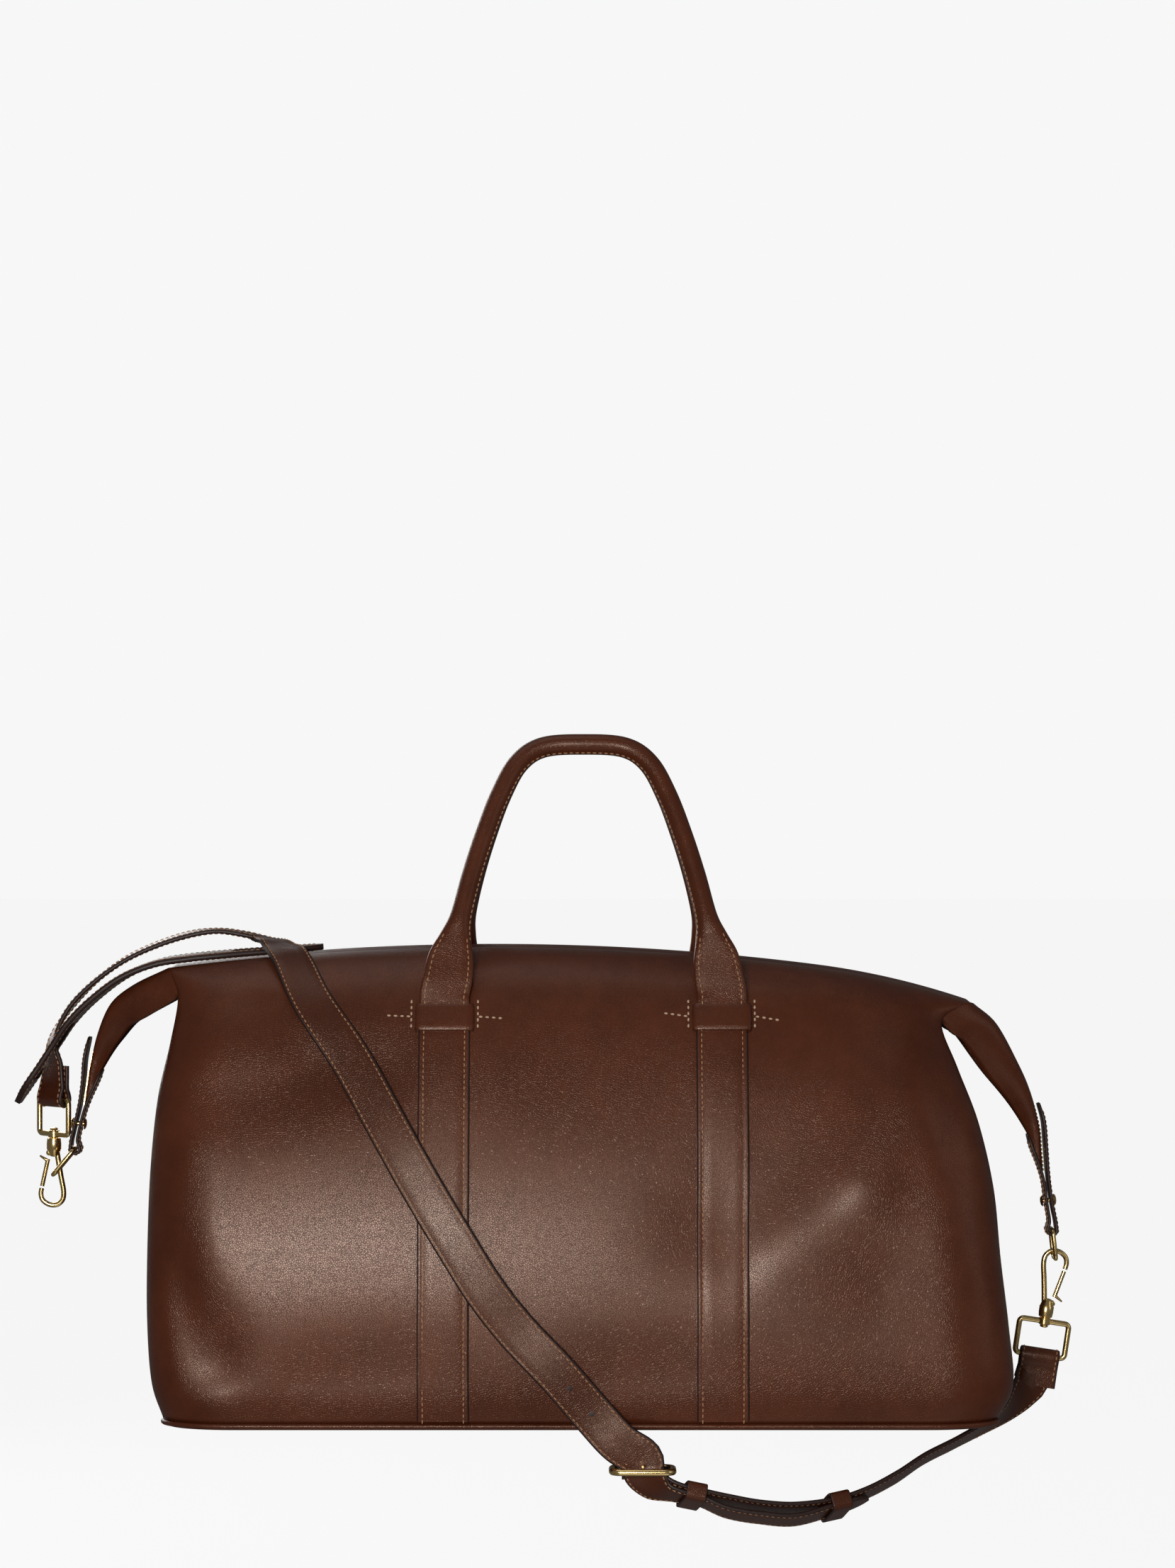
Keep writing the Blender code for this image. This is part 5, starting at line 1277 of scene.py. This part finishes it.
def make_strap(name, node, stations, half, tip=False):
    """A strap through stations (place, direction of its width), stitched through at both edges."""
    count = len(stations) - 1
    frames, outlines, seams = [], [], [[], [], [], []]
    for i, row in enumerate(stations):
        place, across = Vector(row[:3]), Vector(row[3:6]).normalized()
        along = (Vector(stations[min(i + 1, count)][:3]) - Vector(stations[max(i - 1, 0)][:3])).normalized()
        across = (across - along * across.dot(along)).normalized()
        out = along.cross(across).normalized()
        narrow = 1.0
        if tip and i > count - 10:
            narrow = math.sqrt(max(0.02, 1 - ((i - count + 10) / 10) ** 2))
        outline, painted = strip_outline(half * narrow, STRAP_THICK, STRAP_INSET, 0.00022)
        outlines.append([(u, v - STRAP_THICK / 2) for u, v in outline])
        frames.append((place, across, out))
        if 1 < i < count - 8:
            in_keepers = place.x > KEEPERS_FROM_X and place.z < KEEPERS_BELOW_Z
            pulled_in = STITCH_PULLED_IN if in_keepers else -STITCH_PROUD
            for seam, (edge, face) in zip(seams, ((-1, 1), (1, 1), (-1, -1), (1, -1))):
                seam.append(place + across * edge * (half - STRAP_INSET)
                            + out * face * (STRAP_THICK / 2 - pulled_in))
    strap = sweep(name, frames, lambda i: outlines[i], (strap_leather, edge_dark), painted, smooth=45.0)
    settle(strap, "bag", "strap_leather", node)
    sew(name + "_stitches", seams, "bag", pitch=0.0036, length=0.0027)
    return frames


fold = fold_round(LEFT_RING @ Vector((0, 0, -RING_DEEP)), (0, 0, 1),
                  LEFT_RING.to_3x3() @ Vector((-1, 0, 0)), 0.022)
front_rows = []
for i, (x, z) in enumerate(DOWN_FRONT):
    x0, z0 = DOWN_FRONT[max(i - 1, 0)]
    x1, z1 = DOWN_FRONT[min(i + 1, len(DOWN_FRONT) - 1)]
    along = Vector((x1 - x0, 0, z1 - z0)).normalized()
    twist = 0.45 if i == 0 else 0.12 if i == 1 else 0.0
    over_band = math.exp(-((x - BAND_X[0]) / 0.040) ** 2)
    y = wall_at(row_at(x, z), x).y if z > -0.425 else -0.1165
    front_rows.append((x, y - 0.0030 - 0.0022 * over_band - (0.0022 if z < -0.38 else 0.0), z,
                       -along.z, twist, along.x))
through = [(0.0338, -0.1215, -0.4470, 0.99, -0.02, 0.08), (0.0352, -0.1212, -0.4560, 0.99, -0.12, 0.10)]
long_route = fold[-2:] + OVER_WING + front_rows + through + stack_at(STACK_SPACE, 0.0035)[1:9]
long_stations = smooth_rows(fold[:-1], 60) + smooth_rows(long_route, 420)[8:]
long_frames = make_strap("long_strap", "strap_long", long_stations, STRAP_HALF, tip=True)

bar = Vector(BUCKLE_CENTRE) + Vector((0, BUCKLE_DEEP / 2, 0))
reach = BUCKLE_WIRE + 0.0006 + STRAP_THICK / 2
round_bar = [(bar.x, bar.y + 0.0030, bar.z - 0.0080), (bar.x, bar.y + reach, bar.z - 0.0020),
             (bar.x, bar.y + reach * 0.8, bar.z + reach * 0.6), (bar.x, bar.y, bar.z + reach),
             (bar.x, bar.y - reach * 0.8, bar.z + reach * 0.6),
             (bar.x + 0.0003, bar.y - reach, bar.z - 0.0005),
             (bar.x + 0.0010, bar.y - reach - 0.0002, bar.z - 0.0030)]
round_bar = [p + (1.0, 0.0, 0.0) for p in round_bar]
end_fold = list(reversed(fold_round(RIGHT_RING @ Vector((0, 0, -RING_DEEP)),
                                    RIGHT_RING.to_3x3() @ Vector((0, 0, -1)),
                                    RIGHT_RING.to_3x3() @ Vector((-1, 0, 0)), 0.020)))
short_route = round_bar[-2:] + stack_at(-STACK_SPACE)[1:] + TO_RIGHT_RING + end_fold[:2]
short_stations = (smooth_rows(round_bar, 40)[:-1] + smooth_rows(short_route, 200)[8:-10]
                  + smooth_rows(end_fold[1:], 60))
make_strap("short_strap", "strap_short", short_stations, STRAP_HALF - 0.0003)


# Keepers, buckle and prong of the strap ---------------------------------------------------------
# Past the buckle the two straps lie together in a sewn keeper and a loose one; the buckle is a
# rounded oblong of brass with a plain prong.
KEEPER_STATIONS = {"sewn_keeper": (0.0650, "bag"), "loose_keeper": (0.1560, "loose_keeper")}
stack_rows = smooth_rows(STACK, 160)
for name, (at_x, body) in KEEPER_STATIONS.items():
    k = min(range(len(stack_rows)), key=lambda i: abs(stack_rows[i][0] - at_x))
    place, across = Vector(stack_rows[k][:3]), Vector(stack_rows[k][3:6]).normalized()
    along = (Vector(stack_rows[k + 4][:3]) - Vector(stack_rows[k - 4][:3])).normalized()
    across = (across - along * across.dot(along)).normalized()
    out = along.cross(across)
    ring_path = []
    for i in range(64):
        a = 2 * math.pi * (i + 0.5) / 64
        u = math.copysign(abs(math.cos(a)) ** 0.34, math.cos(a)) * (STRAP_HALF + 0.0024)
        v = math.copysign(abs(math.sin(a)) ** 0.34, math.sin(a)) * (STACK_SPACE + STRAP_THICK / 2 + 0.0020)
        ring_path.append(place + across * u + out * v)
    outline, painted = strip_outline(0.0066, 0.0018, 0.0020, 0.0)
    ring_frames = []
    for i, p in enumerate(ring_path):
        tangent = (ring_path[(i + 1) % 64] - ring_path[i - 1]).normalized()
        ring_frames.append((p, along, tangent.cross(along).normalized()))
    loop = sweep(name + "_loop", ring_frames, [(u, v - 0.0009) for u, v in outline],
                 (strap_leather, edge_dark), painted, closed=True, smooth=50.0)
    settle(loop, body, "strap_leather", name)

cx, cy, cz = BUCKLE_CENTRE
corner = 0.0055
buckle_path = []
for sx, sy, start in ((1, -1, 270), (1, 1, 0), (-1, 1, 90), (-1, -1, 180)):
    for i in range(11):
        a = math.radians(start + 9 * i)
        buckle_path.append(Vector((cx + sx * (BUCKLE_WIDE / 2 - corner) + corner * math.cos(a),
                                   cy + sy * (BUCKLE_DEEP / 2 - corner) + corner * math.sin(a), cz)))
buckle = sweep("buckle", frames_along(buckle_path, Vector((0, 0, 1)), True), circle(BUCKLE_WIRE, 16),
               (brass,), closed=True)
settle(buckle, "bag", "gold_brass", "buckle_frame")
prong_loop = BUCKLE_WIRE + 0.0014
prong_path = [Vector((cx, bar.y + prong_loop * math.cos(math.radians(a)),
                      cz + prong_loop * math.sin(math.radians(a)))) for a in range(-130, 131, 10)]
prong_tip = Vector((cx, cy - BUCKLE_DEEP / 2 - 0.0012, cz + BUCKLE_WIRE + 0.0016))
prong_path += [prong_path[-1].lerp(prong_tip, i / 12) for i in range(1, 13)]
last = len(prong_path) - 1
prong = sweep("prong", frames_along(prong_path, Vector((1, 0, 0))),
              lambda i: circle(0.0011 if i < last else 0.0007, 12), (brass,))
settle(prong, "buckle_prong", "gold_brass", "buckle_prong")

# Punched holes are not cut: each is a thin disc of the dark edge finish laid on the strap. It stands for the
# hole's painted edge and, as painted shade, for its depth.
shaded_hole_discs = []
for at in ((0.0027, -0.4193), (-0.0110, -0.4030)):
    k = min(range(len(long_frames)), key=lambda i: math.hypot(long_frames[i][0].x - at[0],
                                                              long_frames[i][0].z - at[1]))
    place, across, out = long_frames[k]
    shaded_hole_discs.append(turned("hole", [(0.0, 0.0017), (0.00012, 0.0017), (0.00016, 0.0014)],
                        place + out * (STRAP_THICK / 2 - 0.00002), out, edge_dark, 16))
settle(joined("strap_hole_shade_discs", *shaded_hole_discs), "bag", "strap_leather")


# Shoulder pad -----------------------------------------------------------------------------------
# A long leaf of dark leather over thin felt, pointed at both ends and stitched round its rim. The
# strap runs through a slot near each end, so the pad can slide along it.
PAD = [
    (-0.3690, -0.2320, 0.0090), (-0.3625, -0.2212, 0.0215), (-0.3530, -0.2075, 0.0240),
    (-0.3440, -0.1938, 0.0255), (-0.3350, -0.1806, 0.0280), (-0.3210, -0.1662, 0.0300),
    (-0.3010, -0.1512, 0.0320), (-0.2790, -0.1422, 0.0330), (-0.2570, -0.1386, 0.0320),
    (-0.2370, -0.1366, 0.0300), (-0.2210, -0.1352, 0.0270), (-0.2050, -0.1340, 0.0240),
    (-0.1900, -0.1328, 0.0200), (-0.1780, -0.1319, 0.0140), (-0.1715, -0.1314, 0.0070),
]
PAD_THICK = 0.0036
PAD_SLOT_HALF = 0.0165
PAD_SLOTS = ((-0.2290, -0.1950), (-0.3600, -0.3350))
pad_rows = smooth_rows([(x, -0.004, z, half) for x, z, half in PAD], 150)
pad_columns = 16
verts, faces, seams = [], [], [[], [], [], []]
for i, row in enumerate(pad_rows):
    p, half = Vector(row[:3]), row[3]
    along = (Vector(pad_rows[min(i + 1, 150)][:3]) - Vector(pad_rows[max(i - 1, 0)][:3])).normalized()
    up = Vector((-along.z, 0, along.x))
    inner = min(PAD_SLOT_HALF, half * 0.72)
    places = [-half + (half - inner) * k / 4 for k in range(4)]
    places += [-inner + 2 * inner * k / 8 for k in range(9)]
    places += [inner + (half - inner) * k / 4 for k in range(1, 5)]
    crown = 0.0006 * math.sin(math.pi * i / 150)
    verts += [p + Vector((0, y, 0)) + up * crown * (1 - (y / half) ** 4) for y in places]
    if 3 < i < 147:
        for seam, (edge, face) in zip(seams, ((-1, 1), (1, 1), (-1, -1), (1, -1))):
            rise = crown * 0.3 + face * (PAD_THICK / 2)
            seam.append(p + Vector((0, edge * (half - 0.0028), 0)) + up * rise)
for i in range(150):
    middle_x = (pad_rows[i][0] + pad_rows[i + 1][0]) / 2
    slotted = any(low < middle_x < high for low, high in PAD_SLOTS)
    for k in range(pad_columns):
        if not (slotted and 4 <= k < 12):
            a = i * (pad_columns + 1) + k
            faces.append((a, a + 1, a + pad_columns + 2, a + pad_columns + 1))
mesh = closed_mesh("pad", verts, faces)
face_outwards(mesh, (-0.27, 0, -0.30))
pad = link_object("pad", mesh, strap_leather, edge_dark)
add_wall(pad, PAD_THICK, even=False)
pad.modifiers["wall"].offset = 0.0
settle(pad, "bag", "strap_leather", "shoulder_pad")
sew("pad_stitches", seams, "bag", pitch=0.0036, length=0.0027)


low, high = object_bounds()
